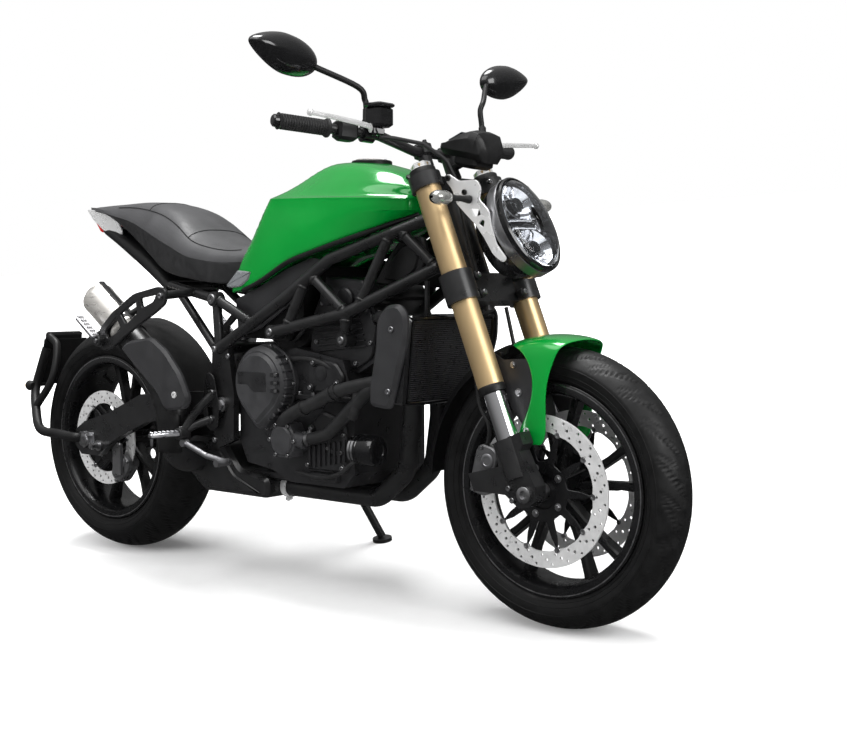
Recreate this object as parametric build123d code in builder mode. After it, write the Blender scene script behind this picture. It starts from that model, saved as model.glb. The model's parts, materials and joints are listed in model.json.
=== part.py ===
from build123d import *
from math import acos, atan2, cos, degrees, hypot, pi, radians, sin, sqrt, tan
import os

# Driving dimensions, in mm and degrees. Everything is modelled on an upright machine:
# X forward, Y to the rider's left, Z up, ground at z = 0, origin midway between the axles.
# At the end the whole machine is leaned over onto its side stand.

WHEELBASE = 1460.0
LEAN = 9.0                  # lean onto the side stand, to the left
RAKE = 22.0                 # steering axis from the vertical
GAP = 0.3                   # gap between curved faces of neighbouring pieces
CLEAR = 6.0                 # clearance round moving pieces

RIM_RADIUS = 228.0          # rim flange
RIM_DEPTH = 29.0            # from the flange in to the well of the rim
FRONT_TYRE_HEIGHT = 72.0    # crown of the tyre above the rim flange
FRONT_TYRE_WIDTH = 120.0
FRONT_TYRE_RADIUS = RIM_RADIUS + FRONT_TYRE_HEIGHT
REAR_TYRE_HEIGHT = 87.0
REAR_TYRE_WIDTH = 180.0
REAR_TYRE_RADIUS = RIM_RADIUS + REAR_TYRE_HEIGHT
FRONT_RIM_WIDTH = 104.0
REAR_RIM_WIDTH = 156.0

FRONT_DISC_RADIUS = 160.0
REAR_DISC_RADIUS = 130.0
DISC_THICK = 5.0
FRONT_DISC_Y = 70.0         # centre planes of the two front discs
REAR_DISC_Y = 88.0          # rear disc, right side

LEG_Y = 112.0               # fork legs from the middle plane
STEM_OFFSET = 28.0          # fork legs ahead of the steering axis
AXLE_LEAD = 13.0            # front axle ahead of the leg axis
OUTER_LEG_RADIUS = 28.5
INNER_LEG_RADIUS = 24.0
LEG_TOP = 735.0             # along the legs, from the axle
LEG_STEP = 232.0            # lower end of the outer tubes

FRAME_TUBE = 14.0           # radius of the main frame tubes
ENGINE_HALF = 125.0         # half width of the crankcase
CYLINDER_HALF = 98.0        # half width of the cylinders and head
ARM_INNER = 122.0           # inner faces of the swingarm's arms
ARM_THICK = 24.0
CHAIN_PITCH = 15.875
FRONT_TEETH = 16
REAR_TEETH = 46
CHAIN_INNER_Y = 97.0
SPROCKET_THICK = 8.0
CHAIN_WIDTH = 20.0

HEADER_RADIUS = 23.0
HEADER_Y = 48.0
MUFFLER_RADIUS = 44.0
BAR_RADIUS = 11.0
GRIP_RADIUS = 16.5

# Tyre crowns and the axle heights at which both tyres just touch the ground when leaned

CROWN_FACETS = 6


def tyre_outline(width, radius, rim_width):
    """Half section of a tyre as (y, radius) points, from the right bead over the crown to the left."""
    half = width / 2
    crown = half * 1.08
    edge = radians(62)
    points = []
    for step in range(CROWN_FACETS + 1):
        turn = -edge + 2 * edge * step / CROWN_FACETS
        points.append((half * sin(turn) / sin(edge), radius - crown + crown * cos(turn)))
    bead = rim_width / 2 - 6 - GAP
    left = [(bead, RIM_RADIUS + GAP), (bead, RIM_RADIUS - 14 + GAP)]
    right = [(-y, rho) for y, rho in reversed(left)]
    return right + points + left


FRONT_TYRE_OUTLINE = tyre_outline(FRONT_TYRE_WIDTH, FRONT_TYRE_RADIUS, FRONT_RIM_WIDTH)
REAR_TYRE_OUTLINE = tyre_outline(REAR_TYRE_WIDTH, REAR_TYRE_RADIUS, REAR_RIM_WIDTH)


def axle_height(outline):
    """Height of a wheel's centre on the upright machine so that it touches the ground when leaned."""
    return max(rho + y * tan(radians(LEAN)) for y, rho in outline)


FRONT_AXLE = Vector(WHEELBASE / 2, 0, axle_height(FRONT_TYRE_OUTLINE))
REAR_AXLE = Vector(-WHEELBASE / 2, 0, axle_height(REAR_TYRE_OUTLINE))

# Planes: fork legs (x forward, y left, z up along the legs), the right side and cross sections

FORK_UP = Vector(-sin(radians(RAKE)), 0, cos(radians(RAKE)))
FORK_FORWARD = Vector(cos(radians(RAKE)), 0, sin(radians(RAKE)))
FORK = Plane(origin=FRONT_AXLE - FORK_FORWARD * AXLE_LEAD, x_dir=FORK_FORWARD, z_dir=FORK_UP)
PIVOT = Vector(-170, 0, 440)

# The points of the lamp, dash and mirrors are drawn for an axle at this place, and move with it

DRAWN_AXLE = Vector(730, 0, 300)
STEERED = FRONT_AXLE - DRAWN_AXLE


def beside(place, outline):
    """An outline's points, given from a place, as points of the whole machine seen from its side."""
    return [(place.X + x, place.Z + z) for x, z in outline]


def right_side(distance):
    """A plane seen from the right: local x forward, local y up, facing away from the machine."""
    return Plane.XZ.offset(distance)


def cross(x):
    """A plane across the machine at x: local x to the left, local y up."""
    return Plane(origin=(x, 0, 0), x_dir=(0, 1, 0), z_dir=(1, 0, 0))


def wheel_section(centre, angle=0):
    """A plane through a wheel's axis: local x to the left, local y outward at this angle from +X."""
    outward = Vector(cos(radians(angle)), 0, sin(radians(angle)))
    left = Vector(0, 1, 0)
    return Plane(origin=centre, x_dir=left, z_dir=left.cross(outward))


def on_fork(forward, left, up):
    """A point given along the fork legs."""
    return FORK.from_local_coords(Vector(forward, left, up))


# Shapes used again and again

MIN_Z = (Align.CENTER, Align.CENTER, Align.MIN)


def strut(start, end, radius, mode=Mode.ADD):
    """A straight round bar."""
    start = Vector(start)
    run = Vector(end) - start
    with Locations(Plane(origin=start, z_dir=run).location):
        Cylinder(radius, run.length, align=MIN_Z, mode=mode)


def bent(points, bend, radius, mode=Mode.ADD):
    """A round bar along straight runs with rounded bends."""
    with BuildLine() as path:
        FilletPolyline(*points, radius=bend)
    run = Vector(points[1]) - Vector(points[0])
    with BuildSketch(Plane(origin=points[0], z_dir=run)) as section:
        Circle(radius)
    sweep(sections=section.sketch, path=path.line, mode=mode)


def side_plate(outline, inner, thick, corner=0.0, mode=Mode.ADD):
    """A flat plate seen from the right, its inner face this far to the right of the middle plane."""
    with BuildSketch(right_side(inner)) as section:
        with BuildLine():
            Polyline(*outline, close=True)
        make_face()
        if corner:
            fillet(section.vertices(), corner)
    extrude(section.sketch, amount=thick, mode=mode)


def hull_section(x, bottom, foot, middle, widest, shoulder, top_half, top):
    """One closed cross section of a body that is rounded above and flat below."""
    with BuildSketch(cross(x)) as section:
        with BuildLine() as edge:
            Spline(
                (-foot, bottom), (-widest, middle), (-top_half, shoulder), (0, top),
                (top_half, shoulder), (widest, middle), (foot, bottom),
            )
            Line((foot, bottom), (-foot, bottom))
        make_face(edge.edges())
    return section.sketch


PARTS = {}

# Wheels: tyres, cast rims with five pairs of spokes, discs and sprocket

with BuildPart() as front_tyre:
    with BuildSketch(wheel_section(FRONT_AXLE)):
        with BuildLine():
            Polyline(*FRONT_TYRE_OUTLINE, close=True)
        make_face()
    revolve(axis=Axis(FRONT_AXLE, (0, 1, 0)))
PARTS["front_tyre"] = front_tyre

with BuildPart() as rear_tyre:
    with BuildSketch(wheel_section(REAR_AXLE)):
        with BuildLine():
            Polyline(*REAR_TYRE_OUTLINE, close=True)
        make_face()
    revolve(axis=Axis(REAR_AXLE, (0, 1, 0)))
PARTS["rear_tyre"] = rear_tyre

SPOKE_PAIRS = 5
SPOKE_SPREAD = 13.0         # half angle between the two spokes of a pair at the rim
BARREL_RADIUS = RIM_RADIUS - RIM_DEPTH
FRONT_HUB = 46.0
REAR_HUB = 48.0
FRONT_AXLE_RADIUS = 12.5
REAR_AXLE_RADIUS = 14.0


def rim_outline(width):
    """Half section of the rim's barrel as (y, radius) points."""
    half = width / 2
    seat = RIM_RADIUS - 14
    return [
        (-half, RIM_RADIUS), (-half + 6, RIM_RADIUS), (-half + 6, seat), (half - 6, seat),
        (half - 6, RIM_RADIUS), (half, RIM_RADIUS), (half, RIM_RADIUS - 20),
        (half - 22, BARREL_RADIUS), (-half + 22, BARREL_RADIUS), (-half, RIM_RADIUS - 20),
    ]


def cast_wheel(centre, rim_width, hub_radius, hub_right, hub_left, axle_radius):
    """Barrel, hub and paired spokes, with a bore for the axle."""
    with BuildSketch(wheel_section(centre)) as barrel:
        with BuildLine():
            Polyline(*rim_outline(rim_width), close=True)
        make_face()
    revolve(barrel.sketch, axis=Axis(centre, (0, 1, 0)))
    strut(centre + Vector(0, -hub_right, 0), centre + Vector(0, hub_left, 0), hub_radius)
    for pair in range(SPOKE_PAIRS):
        for side in (-1, 1):
            middle = pair * 360 / SPOKE_PAIRS + 90
            foot = Vector(cos(radians(middle)), 0, sin(radians(middle))) * (hub_radius - 4)
            tip_turn = radians(middle + side * SPOKE_SPREAD)
            tip = Vector(cos(tip_turn), 0, sin(tip_turn)) * (BARREL_RADIUS + 4)
            run = tip - foot
            with Locations(Plane(origin=centre + foot, x_dir=(0, 1, 0), z_dir=run).location):
                Box(30, 20, run.length, align=MIN_Z)
    strut(
        centre + Vector(0, -hub_right - 1, 0), centre + Vector(0, hub_left + 1, 0),
        axle_radius + GAP, mode=Mode.SUBTRACT,
    )


with BuildPart() as front_rim:
    front_hub_end = FRONT_DISC_Y - DISC_THICK / 2
    cast_wheel(FRONT_AXLE, FRONT_RIM_WIDTH, FRONT_HUB, front_hub_end, front_hub_end, FRONT_AXLE_RADIUS)
PARTS["front_rim"] = front_rim

with BuildPart() as rear_rim:
    disc_side = REAR_DISC_Y - DISC_THICK / 2
    sprocket_side = CHAIN_INNER_Y + CHAIN_WIDTH / 2 - SPROCKET_THICK / 2
    cast_wheel(REAR_AXLE, REAR_RIM_WIDTH, REAR_HUB, disc_side, sprocket_side, REAR_AXLE_RADIUS)
PARTS["rear_rim"] = rear_rim

CARRIER_ARMS = 10


def brake_disc(centre, y, radius, band, bore, arms):
    """A brake disc: a steel band on a spoked carrier with a round opening in the middle."""
    with BuildSketch(Plane(origin=centre + Vector(0, y, 0), x_dir=(1, 0, 0), z_dir=(0, 1, 0))) as face:
        Circle(radius)
        Circle(radius - band, mode=Mode.SUBTRACT)
        Circle(bore + 16)
        with PolarLocations((bore + 8 + radius - band + 4) / 2, arms):
            Rectangle(radius - band + 4 - bore, 12)
        Circle(bore, mode=Mode.SUBTRACT)
    extrude(face.sketch, amount=DISC_THICK / 2, both=True)


with BuildPart() as front_discs:
    brake_disc(FRONT_AXLE, -FRONT_DISC_Y, FRONT_DISC_RADIUS, 34, FRONT_HUB - 10, CARRIER_ARMS)
    mirror(about=Plane.XZ)
PARTS["front_discs"] = front_discs

with BuildPart() as rear_disc:
    brake_disc(REAR_AXLE, -REAR_DISC_Y, REAR_DISC_RADIUS, 34, REAR_HUB - 12, 6)
PARTS["rear_disc"] = rear_disc

FRONT_PITCH_RADIUS = CHAIN_PITCH / (2 * sin(pi / FRONT_TEETH))
REAR_PITCH_RADIUS = CHAIN_PITCH / (2 * sin(pi / REAR_TEETH))
SPROCKET_RADIUS = REAR_PITCH_RADIUS - 7.5 - 4.5
CHAIN_MIDDLE_Y = CHAIN_INNER_Y + CHAIN_WIDTH / 2

with BuildPart() as rear_sprocket:
    chain_middle = REAR_AXLE + Vector(0, CHAIN_MIDDLE_Y, 0)
    with BuildSketch(Plane(origin=chain_middle, x_dir=(1, 0, 0), z_dir=(0, 1, 0))):
        Circle(SPROCKET_RADIUS)
        Circle(REAR_HUB - 8, mode=Mode.SUBTRACT)
        with PolarLocations((SPROCKET_RADIUS + REAR_HUB) / 2 + 2, 6):
            Circle(15, mode=Mode.SUBTRACT)
    extrude(amount=SPROCKET_THICK / 2, both=True)
PARTS["rear_sprocket"] = rear_sprocket

# Chain: one closed band round both sprockets, waisted at every link

FRONT_SPROCKET = Vector(-88, 0, 452)


def chain_point(distance, offset):
    """A point on the chain's path, this far along it and this far outside the pitch line."""
    run = REAR_AXLE - FRONT_SPROCKET
    span = hypot(run.X, run.Z)
    heading = atan2(run.Z, run.X)
    swing = acos((FRONT_PITCH_RADIUS - REAR_PITCH_RADIUS) / span)
    straight = span * sin(swing)
    front_arc = FRONT_PITCH_RADIUS * 2 * (pi - swing)
    rear_arc = REAR_PITCH_RADIUS * 2 * swing
    total = 2 * straight + front_arc + rear_arc
    place = distance % 1.0 * total
    if place < rear_arc:
        turn = heading - swing + place / REAR_PITCH_RADIUS
        centre, radius = REAR_AXLE, REAR_PITCH_RADIUS + offset
        return (centre.X + radius * cos(turn), centre.Z + radius * sin(turn))
    place -= rear_arc
    upper = heading + swing
    if place < straight:
        start, end, share = REAR_AXLE, FRONT_SPROCKET, place / straight
        reach = [REAR_PITCH_RADIUS + offset, FRONT_PITCH_RADIUS + offset]
    elif place < straight + front_arc:
        turn = upper + (place - straight) / FRONT_PITCH_RADIUS
        radius = FRONT_PITCH_RADIUS + offset
        return (FRONT_SPROCKET.X + radius * cos(turn), FRONT_SPROCKET.Z + radius * sin(turn))
    else:
        upper = heading - swing
        start, end, share = FRONT_SPROCKET, REAR_AXLE, (place - straight - front_arc) / straight
        reach = [FRONT_PITCH_RADIUS + offset, REAR_PITCH_RADIUS + offset]
    first = (start.X + reach[0] * cos(upper), start.Z + reach[0] * sin(upper))
    last = (end.X + reach[1] * cos(upper), end.Z + reach[1] * sin(upper))
    return tuple(a + (b - a) * share for a, b in zip(first, last))


CHAIN_STEPS = 114


def chain_edge(wide, narrow):
    """One edge of the chain, wide at the pins and narrow between them."""
    return [chain_point(step / CHAIN_STEPS, (wide, narrow)[step % 2]) for step in range(CHAIN_STEPS)]


with BuildPart() as chain:
    with BuildSketch(right_side(-CHAIN_INNER_Y)):
        with BuildLine():
            Polyline(*chain_edge(8.5, 6.0), close=True)
        make_face()
        with BuildLine():
            Polyline(*chain_edge(-7.5, -5.0), close=True)
        make_face(mode=Mode.SUBTRACT)
    extrude(amount=-CHAIN_WIDTH)
PARTS["chain"] = chain

# Axles and the pins for a paddock stand

FOOT_INNER = LEG_Y - 18
FOOT_OUTER = LEG_Y + 20

with BuildPart() as front_axle:
    axle_end = Vector(0, FOOT_OUTER + 3, 0)
    strut(FRONT_AXLE - axle_end, FRONT_AXLE + axle_end, FRONT_AXLE_RADIUS)
    for side in (-1, 1):
        sideways = Vector(0, side, 0)
        strut(FRONT_AXLE + sideways * (front_hub_end + 1), FRONT_AXLE + sideways * FOOT_INNER, 19)
        strut(FRONT_AXLE + sideways * (FOOT_OUTER + GAP), FRONT_AXLE + sideways * (FOOT_OUTER + 6), 17)
    bore_end = Vector(0, FOOT_OUTER + 7, 0)
    strut(FRONT_AXLE - bore_end, FRONT_AXLE + bore_end, 8, Mode.SUBTRACT)
PARTS["front_axle"] = front_axle

ARM_OUTER = ARM_INNER + ARM_THICK

with BuildPart() as rear_axle:
    strut(REAR_AXLE + Vector(0, -ARM_OUTER - 4, 0), REAR_AXLE + Vector(0, ARM_OUTER + 4, 0), REAR_AXLE_RADIUS)
    strut(REAR_AXLE + Vector(0, -ARM_INNER, 0), REAR_AXLE + Vector(0, -disc_side - 1, 0), 24)
    strut(REAR_AXLE + Vector(0, sprocket_side + 1, 0), REAR_AXLE + Vector(0, ARM_INNER, 0), 24)
    for side in (-1, 1):
        nut_seat = REAR_AXLE + Vector(0, side * (ARM_OUTER + GAP), 0)
        with BuildSketch(Plane(origin=nut_seat, z_dir=(0, side, 0))) as nut:
            RegularPolygon(23, 6)
        extrude(nut.sketch, amount=15)
PARTS["rear_axle"] = rear_axle

SPOOL_RADIUS = 9.0
SPOOL_LENGTH = 24.0
SPOOL_PLACE = REAR_AXLE + Vector(48, 0, -14)

with BuildPart() as paddock_spools:
    foot = SPOOL_PLACE + Vector(0, -ARM_OUTER, 0)
    strut(foot, foot + Vector(0, -SPOOL_LENGTH - 4, 0), SPOOL_RADIUS)
    strut(foot, foot + Vector(0, -4, 0), 15)
    mirror(about=Plane.XZ)
PARTS["paddock_spools"] = paddock_spools

# Fork: outer tubes, inner tubes, axle feet and the two clamps with the steering stem

with BuildPart() as fork_tubes:
    strut(on_fork(0, -LEG_Y, LEG_STEP), on_fork(0, -LEG_Y, LEG_TOP), OUTER_LEG_RADIUS)
    strut(on_fork(0, -LEG_Y, LEG_TOP - 1), on_fork(0, -LEG_Y, LEG_TOP + 12), 20)
    mirror(about=Plane.XZ)
PARTS["fork_tubes"] = fork_tubes

FOOT_SOCKET = 60.0

with BuildPart() as fork_stanchions:
    strut(on_fork(0, -LEG_Y, FOOT_SOCKET), on_fork(0, -LEG_Y, LEG_STEP), INNER_LEG_RADIUS)
    mirror(about=Plane.XZ)
PARTS["fork_stanchions"] = fork_stanchions

FOOT_OUTLINE = [
    (-26, 118), (18, 124), (46, 124), (46, 98), (32, 88), (34, 60), (42, 8), (32, -20), (10, -26), (-14, -22),
    (-36, 14), (-112, 46), (-112, 84),
    (-30, 74),
]

with BuildPart() as fork_feet:
    with BuildSketch(Plane(origin=on_fork(0, -FOOT_INNER, 0), x_dir=FORK_FORWARD, z_dir=(0, -1, 0))):
        with BuildLine():
            Polyline(*FOOT_OUTLINE, close=True)
        make_face()
    extrude(amount=FOOT_OUTER - FOOT_INNER)
    strut(on_fork(0, -LEG_Y, FOOT_SOCKET - 22), on_fork(0, -LEG_Y, 122), 30)
    strut(on_fork(0, -LEG_Y, FOOT_SOCKET), on_fork(0, -LEG_Y, 130), INNER_LEG_RADIUS + GAP, Mode.SUBTRACT)
    strut(
        FRONT_AXLE + Vector(0, -FOOT_INNER + 10, 0), FRONT_AXLE + Vector(0, -FOOT_OUTER - 10, 0),
        FRONT_AXLE_RADIUS + GAP, Mode.SUBTRACT,
    )
    mirror(about=Plane.XZ)
PARTS["fork_feet"] = fork_feet

STEM_RADIUS = 15.0
LOWER_CLAMP = (428.0, 494.0)
UPPER_CLAMP = (690.0, 722.0)
HEAD_TUBE = (500.0, 684.0)
HEAD_RADIUS = 31.0


def clamp_plate(low, high, boss, web):
    """A fork clamp: a boss round each leg and a web to the steering stem between them."""
    with BuildSketch(Plane(origin=on_fork(0, 0, low), x_dir=FORK_FORWARD, z_dir=FORK_UP)) as face:
        with Locations((0, -LEG_Y), (0, LEG_Y)):
            Circle(boss)
        with Locations((-STEM_OFFSET / 2 + 6, 0)):
            Rectangle(web, 2 * LEG_Y)
        with Locations((-STEM_OFFSET, 0)):
            Circle(HEAD_RADIUS)
        with Locations((0, -LEG_Y), (0, LEG_Y)):
            Circle(OUTER_LEG_RADIUS + GAP, mode=Mode.SUBTRACT)
    extrude(face.sketch, amount=high - low)


with BuildPart() as triple_clamps:
    clamp_plate(*LOWER_CLAMP, 37, 34)
    clamp_plate(*UPPER_CLAMP, 36, 34)
    stem_low = on_fork(-STEM_OFFSET, 0, LOWER_CLAMP[0] - 12)
    strut(stem_low, on_fork(-STEM_OFFSET, 0, UPPER_CLAMP[1] + 10), STEM_RADIUS)
PARTS["triple_clamps"] = triple_clamps

# Front brake calipers, gripping the discs from behind

CALIPER_ANGLE = 166.0
CALIPER_LENGTH = 108.0


def caliper(centre, angle, y, radius, width, length, depth):
    """A brake caliper round the rim of a disc, with a slot for it."""
    outward = Vector(cos(radians(angle)), 0, sin(radians(angle)))
    seat = Plane(origin=centre + outward * (radius + 8) + Vector(0, y, 0), x_dir=(0, 1, 0), z_dir=outward)
    with Locations(seat.location):
        Box(width, length, depth, align=(Align.CENTER, Align.CENTER, Align.MAX))
        slot = DISC_THICK + 2 * CLEAR
        Box(slot, length + 2, depth, align=(Align.CENTER, Align.CENTER, Align.MAX), mode=Mode.SUBTRACT)
        Box(width - 20, length - 24, 9, align=(Align.CENTER, Align.CENTER, Align.CENTER))
    with Locations((seat.offset(-2.5)).location):
        Box(slot, length + 4, depth, align=(Align.CENTER, Align.CENTER, Align.MAX), mode=Mode.SUBTRACT)


with BuildPart() as front_calipers:
    caliper_width = 2 * (FOOT_INNER - FRONT_DISC_Y)
    caliper(FRONT_AXLE, CALIPER_ANGLE, -FRONT_DISC_Y, FRONT_DISC_RADIUS, caliper_width, CALIPER_LENGTH, 56)
    mirror(about=Plane.XZ)
PARTS["front_calipers"] = front_calipers

# Front mudguard: a painted blade over the tyre with a leg each side, and a plain rear guard

BLADE_INNER = FRONT_TYRE_RADIUS + 16
BLADE = (80.0, 106.0)
GUARD = (108.0, 178.0)


def guard_arc(centre, first, last, half, inner, thick, skirt):
    """A shallow channel over a tyre between two angles, measured from straight ahead."""
    points = [
        (-half, inner - skirt), (-half + 18, inner + thick),
        (half - 18, inner + thick), (half, inner - skirt),
        (half - thick, inner - skirt), (half - 20, inner),
        (-half + 20, inner), (-half + thick, inner - skirt),
    ]
    with BuildSketch(wheel_section(centre, first)) as section:
        with BuildLine():
            Polyline(*points, close=True)
        make_face()
    revolve(section.sketch, axis=Axis(centre, (0, -1, 0)), revolution_arc=last - first)


LEG_HEAD = BLADE_INNER - 24
LEG_OUTLINE = [
    (-34, LEG_HEAD), (52, LEG_HEAD), (34, LEG_HEAD - 42), (24, LEG_HEAD - 87), (26, 150), (22, 112), (-4, 98),
    (-32, 106), (-38, 126),
    (-14, 146), (-2, LEG_HEAD - 102), (-6, LEG_HEAD - 52),
]

PANEL_Y = FRONT_DISC_Y + DISC_THICK / 2 + CLEAR
PANEL_THICK = 4.0
LEG_INNER = PANEL_Y + PANEL_THICK
LEG_BOSS = (34.0, 111.0)
PANEL_HEAD = BLADE_INNER - 30

with BuildPart() as front_fender:
    guard_arc(FRONT_AXLE, *BLADE, LEG_INNER + 4, BLADE_INNER, 5, 26)
    leg = [(FRONT_AXLE.X + x, FRONT_AXLE.Z + z) for x, z in LEG_OUTLINE]
    side_plate(leg, LEG_INNER, 5)
    side_plate(leg, -LEG_INNER, -5)
    for side in (-1, 1):
        inner = on_fork(LEG_BOSS[0], side * (LEG_INNER + 4), LEG_BOSS[1])
        outer = on_fork(LEG_BOSS[0], side * FOOT_INNER, LEG_BOSS[1])
        strut(inner, outer, 9)
PARTS["front_fender"] = front_fender

with BuildPart() as fender_rear:
    guard_arc(FRONT_AXLE, *GUARD, 70, BLADE_INNER - 2, 4, 16)
    tab = FRONT_AXLE + Vector(-107, 0, PANEL_HEAD - 6)
    for side in (-1, 1):
        strut(tab + Vector(0, side * 66, 0), tab + Vector(0, side * PANEL_Y, 0), 7)
PARTS["fender_rear"] = fender_rear

PANEL_OUTLINE = [
    (-118, PANEL_HEAD), (-92, PANEL_HEAD - 14), (-24, PANEL_HEAD - 10), (4, PANEL_HEAD - 48),
    (8, 192), (-2, 156), (-30, 124), (-70, 170),
]

with BuildPart() as fender_sides:
    panel = [(FRONT_AXLE.X + x, FRONT_AXLE.Z + z) for x, z in PANEL_OUTLINE]
    side_plate(panel, PANEL_Y, PANEL_THICK)
    mirror(about=Plane.XZ)
PARTS["fender_sides"] = fender_sides

# Handlebar with grips, levers, switch pods and mirrors

BAR_MIDDLE = on_fork(-33, 0, 800)
BAR_RISE = Vector(-8, 0, 27)
BAR_KNEE_Y = 178.0
BAR_END_Y = 405.0
BAR_KNEE = BAR_MIDDLE + BAR_RISE + Vector(-4, -BAR_KNEE_Y, 0)
BAR_END = BAR_KNEE + Vector(-78, -(BAR_END_Y - BAR_KNEE_Y), 16)
BAR_RUN = (BAR_END - BAR_KNEE).normalized()
BAR_LENGTH = (BAR_END - BAR_KNEE).length
GRIP_LENGTH = 118.0

with BuildPart() as handlebar:
    bent([BAR_MIDDLE, BAR_MIDDLE + Vector(0, -70, 0), BAR_KNEE, BAR_END], 34, BAR_RADIUS)
    mirror(about=Plane.XZ)
    for side in (-1, 1):
        strut(on_fork(-33, side * 42, UPPER_CLAMP[1]), on_fork(-33, side * 42, 808), 15)
PARTS["handlebar"] = handlebar


def on_bar(along):
    """A point on the right half of the bar, measured out from the knee."""
    return BAR_KNEE + BAR_RUN * along


def bar_sleeve(first, last, radius):
    """A sleeve round the right half of the bar, as a ring section turned about the bar."""
    section_plane = Plane(origin=on_bar(first), x_dir=Vector(0, 0, 1), z_dir=BAR_RUN)
    with BuildSketch(section_plane) as ring:
        Circle(radius)
        Circle(BAR_RADIUS + GAP, mode=Mode.SUBTRACT)
    extrude(ring.sketch, amount=last - first)


with BuildPart() as grips:
    bar_sleeve(BAR_LENGTH - GRIP_LENGTH, BAR_LENGTH - 2, GRIP_RADIUS)
    mirror(about=Plane.XZ)
PARTS["grips"] = grips

POD = (58.0, 104.0)
PERCH = (14.0, 42.0)

with BuildPart() as bar_controls:
    bar_sleeve(*POD, 23)
    bar_sleeve(*PERCH, 19)
    strut(on_bar(32) + Vector(BAR_RADIUS + 5, 0, 2), on_bar(32) + Vector(38, 0, 5), 9)
    mirror(about=Plane.XZ)
    tub = on_bar(20) + Vector(26, 0, 12)
    with Locations(Plane(origin=tub, x_dir=(1, 0, 0), z_dir=(0, 0, 1)).location):
        Box(36, 44, 48, align=MIN_Z)
PARTS["bar_controls"] = bar_controls

with BuildPart() as levers:
    root = on_bar(45.2) + Vector(30, 0, 4)
    bend = on_bar(66) + Vector(48, 0, 8)
    tip = on_bar(BAR_LENGTH - 8) + Vector(88, 0, 10)
    bent([root, bend, tip], 20, 6)
    mirror(about=Plane.XZ)
PARTS["levers"] = levers

MIRROR_CENTRE = STEERED + Vector(292, -384, 1224)

with BuildPart() as mirrors:
    post = on_bar(28) + Vector(0, 0, 19 + 4 * GAP)
    elbow = Vector(post.X - 6, post.Y, MIRROR_CENTRE.Z - 60)
    joint = MIRROR_CENTRE + Vector(12, 56, -4)
    bent([post, elbow, joint], 30, 5.5)
    face = Plane(origin=MIRROR_CENTRE, x_dir=(0, -1, 0.12), z_dir=(1, 0, 0))
    with BuildSketch(face) as back:
        Ellipse(82, 40)
    with BuildSketch(face.offset(16)) as waist:
        Ellipse(76, 34)
    with BuildSketch(face.offset(36)) as nose:
        Ellipse(44, 16)
    loft([back.sketch, waist.sketch, nose.sketch], ruled=True)
    mirror(about=Plane.XZ)
PARTS["mirrors"] = mirrors

# Instruments, headlight, its brackets and the front indicators

DASH = STEERED + Vector(494, 0, 1030)

with BuildPart() as dash:
    with Locations(Plane(origin=DASH, x_dir=(0.94, 0, -0.2), z_dir=(0.2, 0, 0.94)).location):
        Box(104, 108, 40)
        Box(56, 80, 36, align=(Align.CENTER, Align.CENTER, Align.MAX))
    stalk_foot = on_fork(6, 0, UPPER_CLAMP[1])
    strut(stalk_foot, stalk_foot + FORK_UP * 30, 9)
    strut(stalk_foot + FORK_UP * 26, DASH + Vector(-4, 0, -20), 9)
PARTS["dash"] = dash

LIGHT_FACE = Plane(origin=STEERED + Vector(644, 0, 858), x_dir=(0, 1, 0), z_dir=(0.894, 0, 0.447))
LIGHT_HALF_WIDTH = 90.0
LIGHT_HALF_HEIGHT = 112.0

with BuildPart() as headlight:
    with BuildSketch(LIGHT_FACE) as rim_face:
        Ellipse(LIGHT_HALF_WIDTH, LIGHT_HALF_HEIGHT)
    with BuildSketch(LIGHT_FACE.offset(-34)) as middle_face:
        Ellipse(LIGHT_HALF_WIDTH, LIGHT_HALF_HEIGHT)
    with BuildSketch(LIGHT_FACE.offset(-98)) as back_face:
        Ellipse(56, 76)
    loft([rim_face.sketch, middle_face.sketch, back_face.sketch], ruled=True)
PARTS["headlight"] = headlight

with BuildPart() as headlight_lens:
    with BuildSketch(LIGHT_FACE) as lens_foot:
        Ellipse(LIGHT_HALF_WIDTH - 7, LIGHT_HALF_HEIGHT - 7)
    with BuildSketch(LIGHT_FACE.offset(22)) as lens_top:
        Ellipse(60, 84)
    loft([lens_foot.sketch, lens_top.sketch], ruled=True)
PARTS["headlight_lens"] = headlight_lens

BRACKET_OUTLINE = [
    (488, 952), (490, 972), (520, 964), (560, 962), (606, 930),
    (650, 800), (642, 776), (612, 786), (588, 868),
    (548, 898),
]

with BuildPart() as headlight_brackets:
    side_plate(beside(STEERED, BRACKET_OUTLINE), LIGHT_HALF_WIDTH + GAP, 5)
    mirror(about=Plane.XZ)
PARTS["headlight_brackets"] = headlight_brackets

with BuildPart() as front_indicators:
    stalk = STEERED + Vector(560, -LIGHT_HALF_WIDTH - 7, 910)
    strut(stalk, stalk + Vector(-10, -66, 0), 7)
    lamp = stalk + Vector(-10, -62, 0)
    lamp_face = Plane(origin=lamp, x_dir=(1, 0, 0), z_dir=(0, -1, 0))
    with BuildSketch(lamp_face) as lamp_foot:
        Ellipse(24, 18)
    with BuildSketch(lamp_face.offset(46)) as lamp_tip:
        Ellipse(17, 12)
    loft([lamp_foot.sketch, lamp_tip.sketch], ruled=True)
    mirror(about=Plane.XZ)
PARTS["front_indicators"] = front_indicators

# Front brake hoses: one from the bar to the lower clamp, and one on from there to each caliper

BRAKE_HOSE_RADIUS = 4.5
BRAKE_HOSE_Y = 76.0
caliper_out = Vector(cos(radians(CALIPER_ANGLE)), 0, sin(radians(CALIPER_ANGLE)))
caliper_up = Vector(caliper_out.Z, 0, -caliper_out.X)
caliper_port = FRONT_AXLE + caliper_out * (FRONT_DISC_RADIUS - 10) + caliper_up * (CALIPER_LENGTH / 2)
port = caliper_port + Vector(0, -BRAKE_HOSE_Y - 8, 0)

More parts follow.
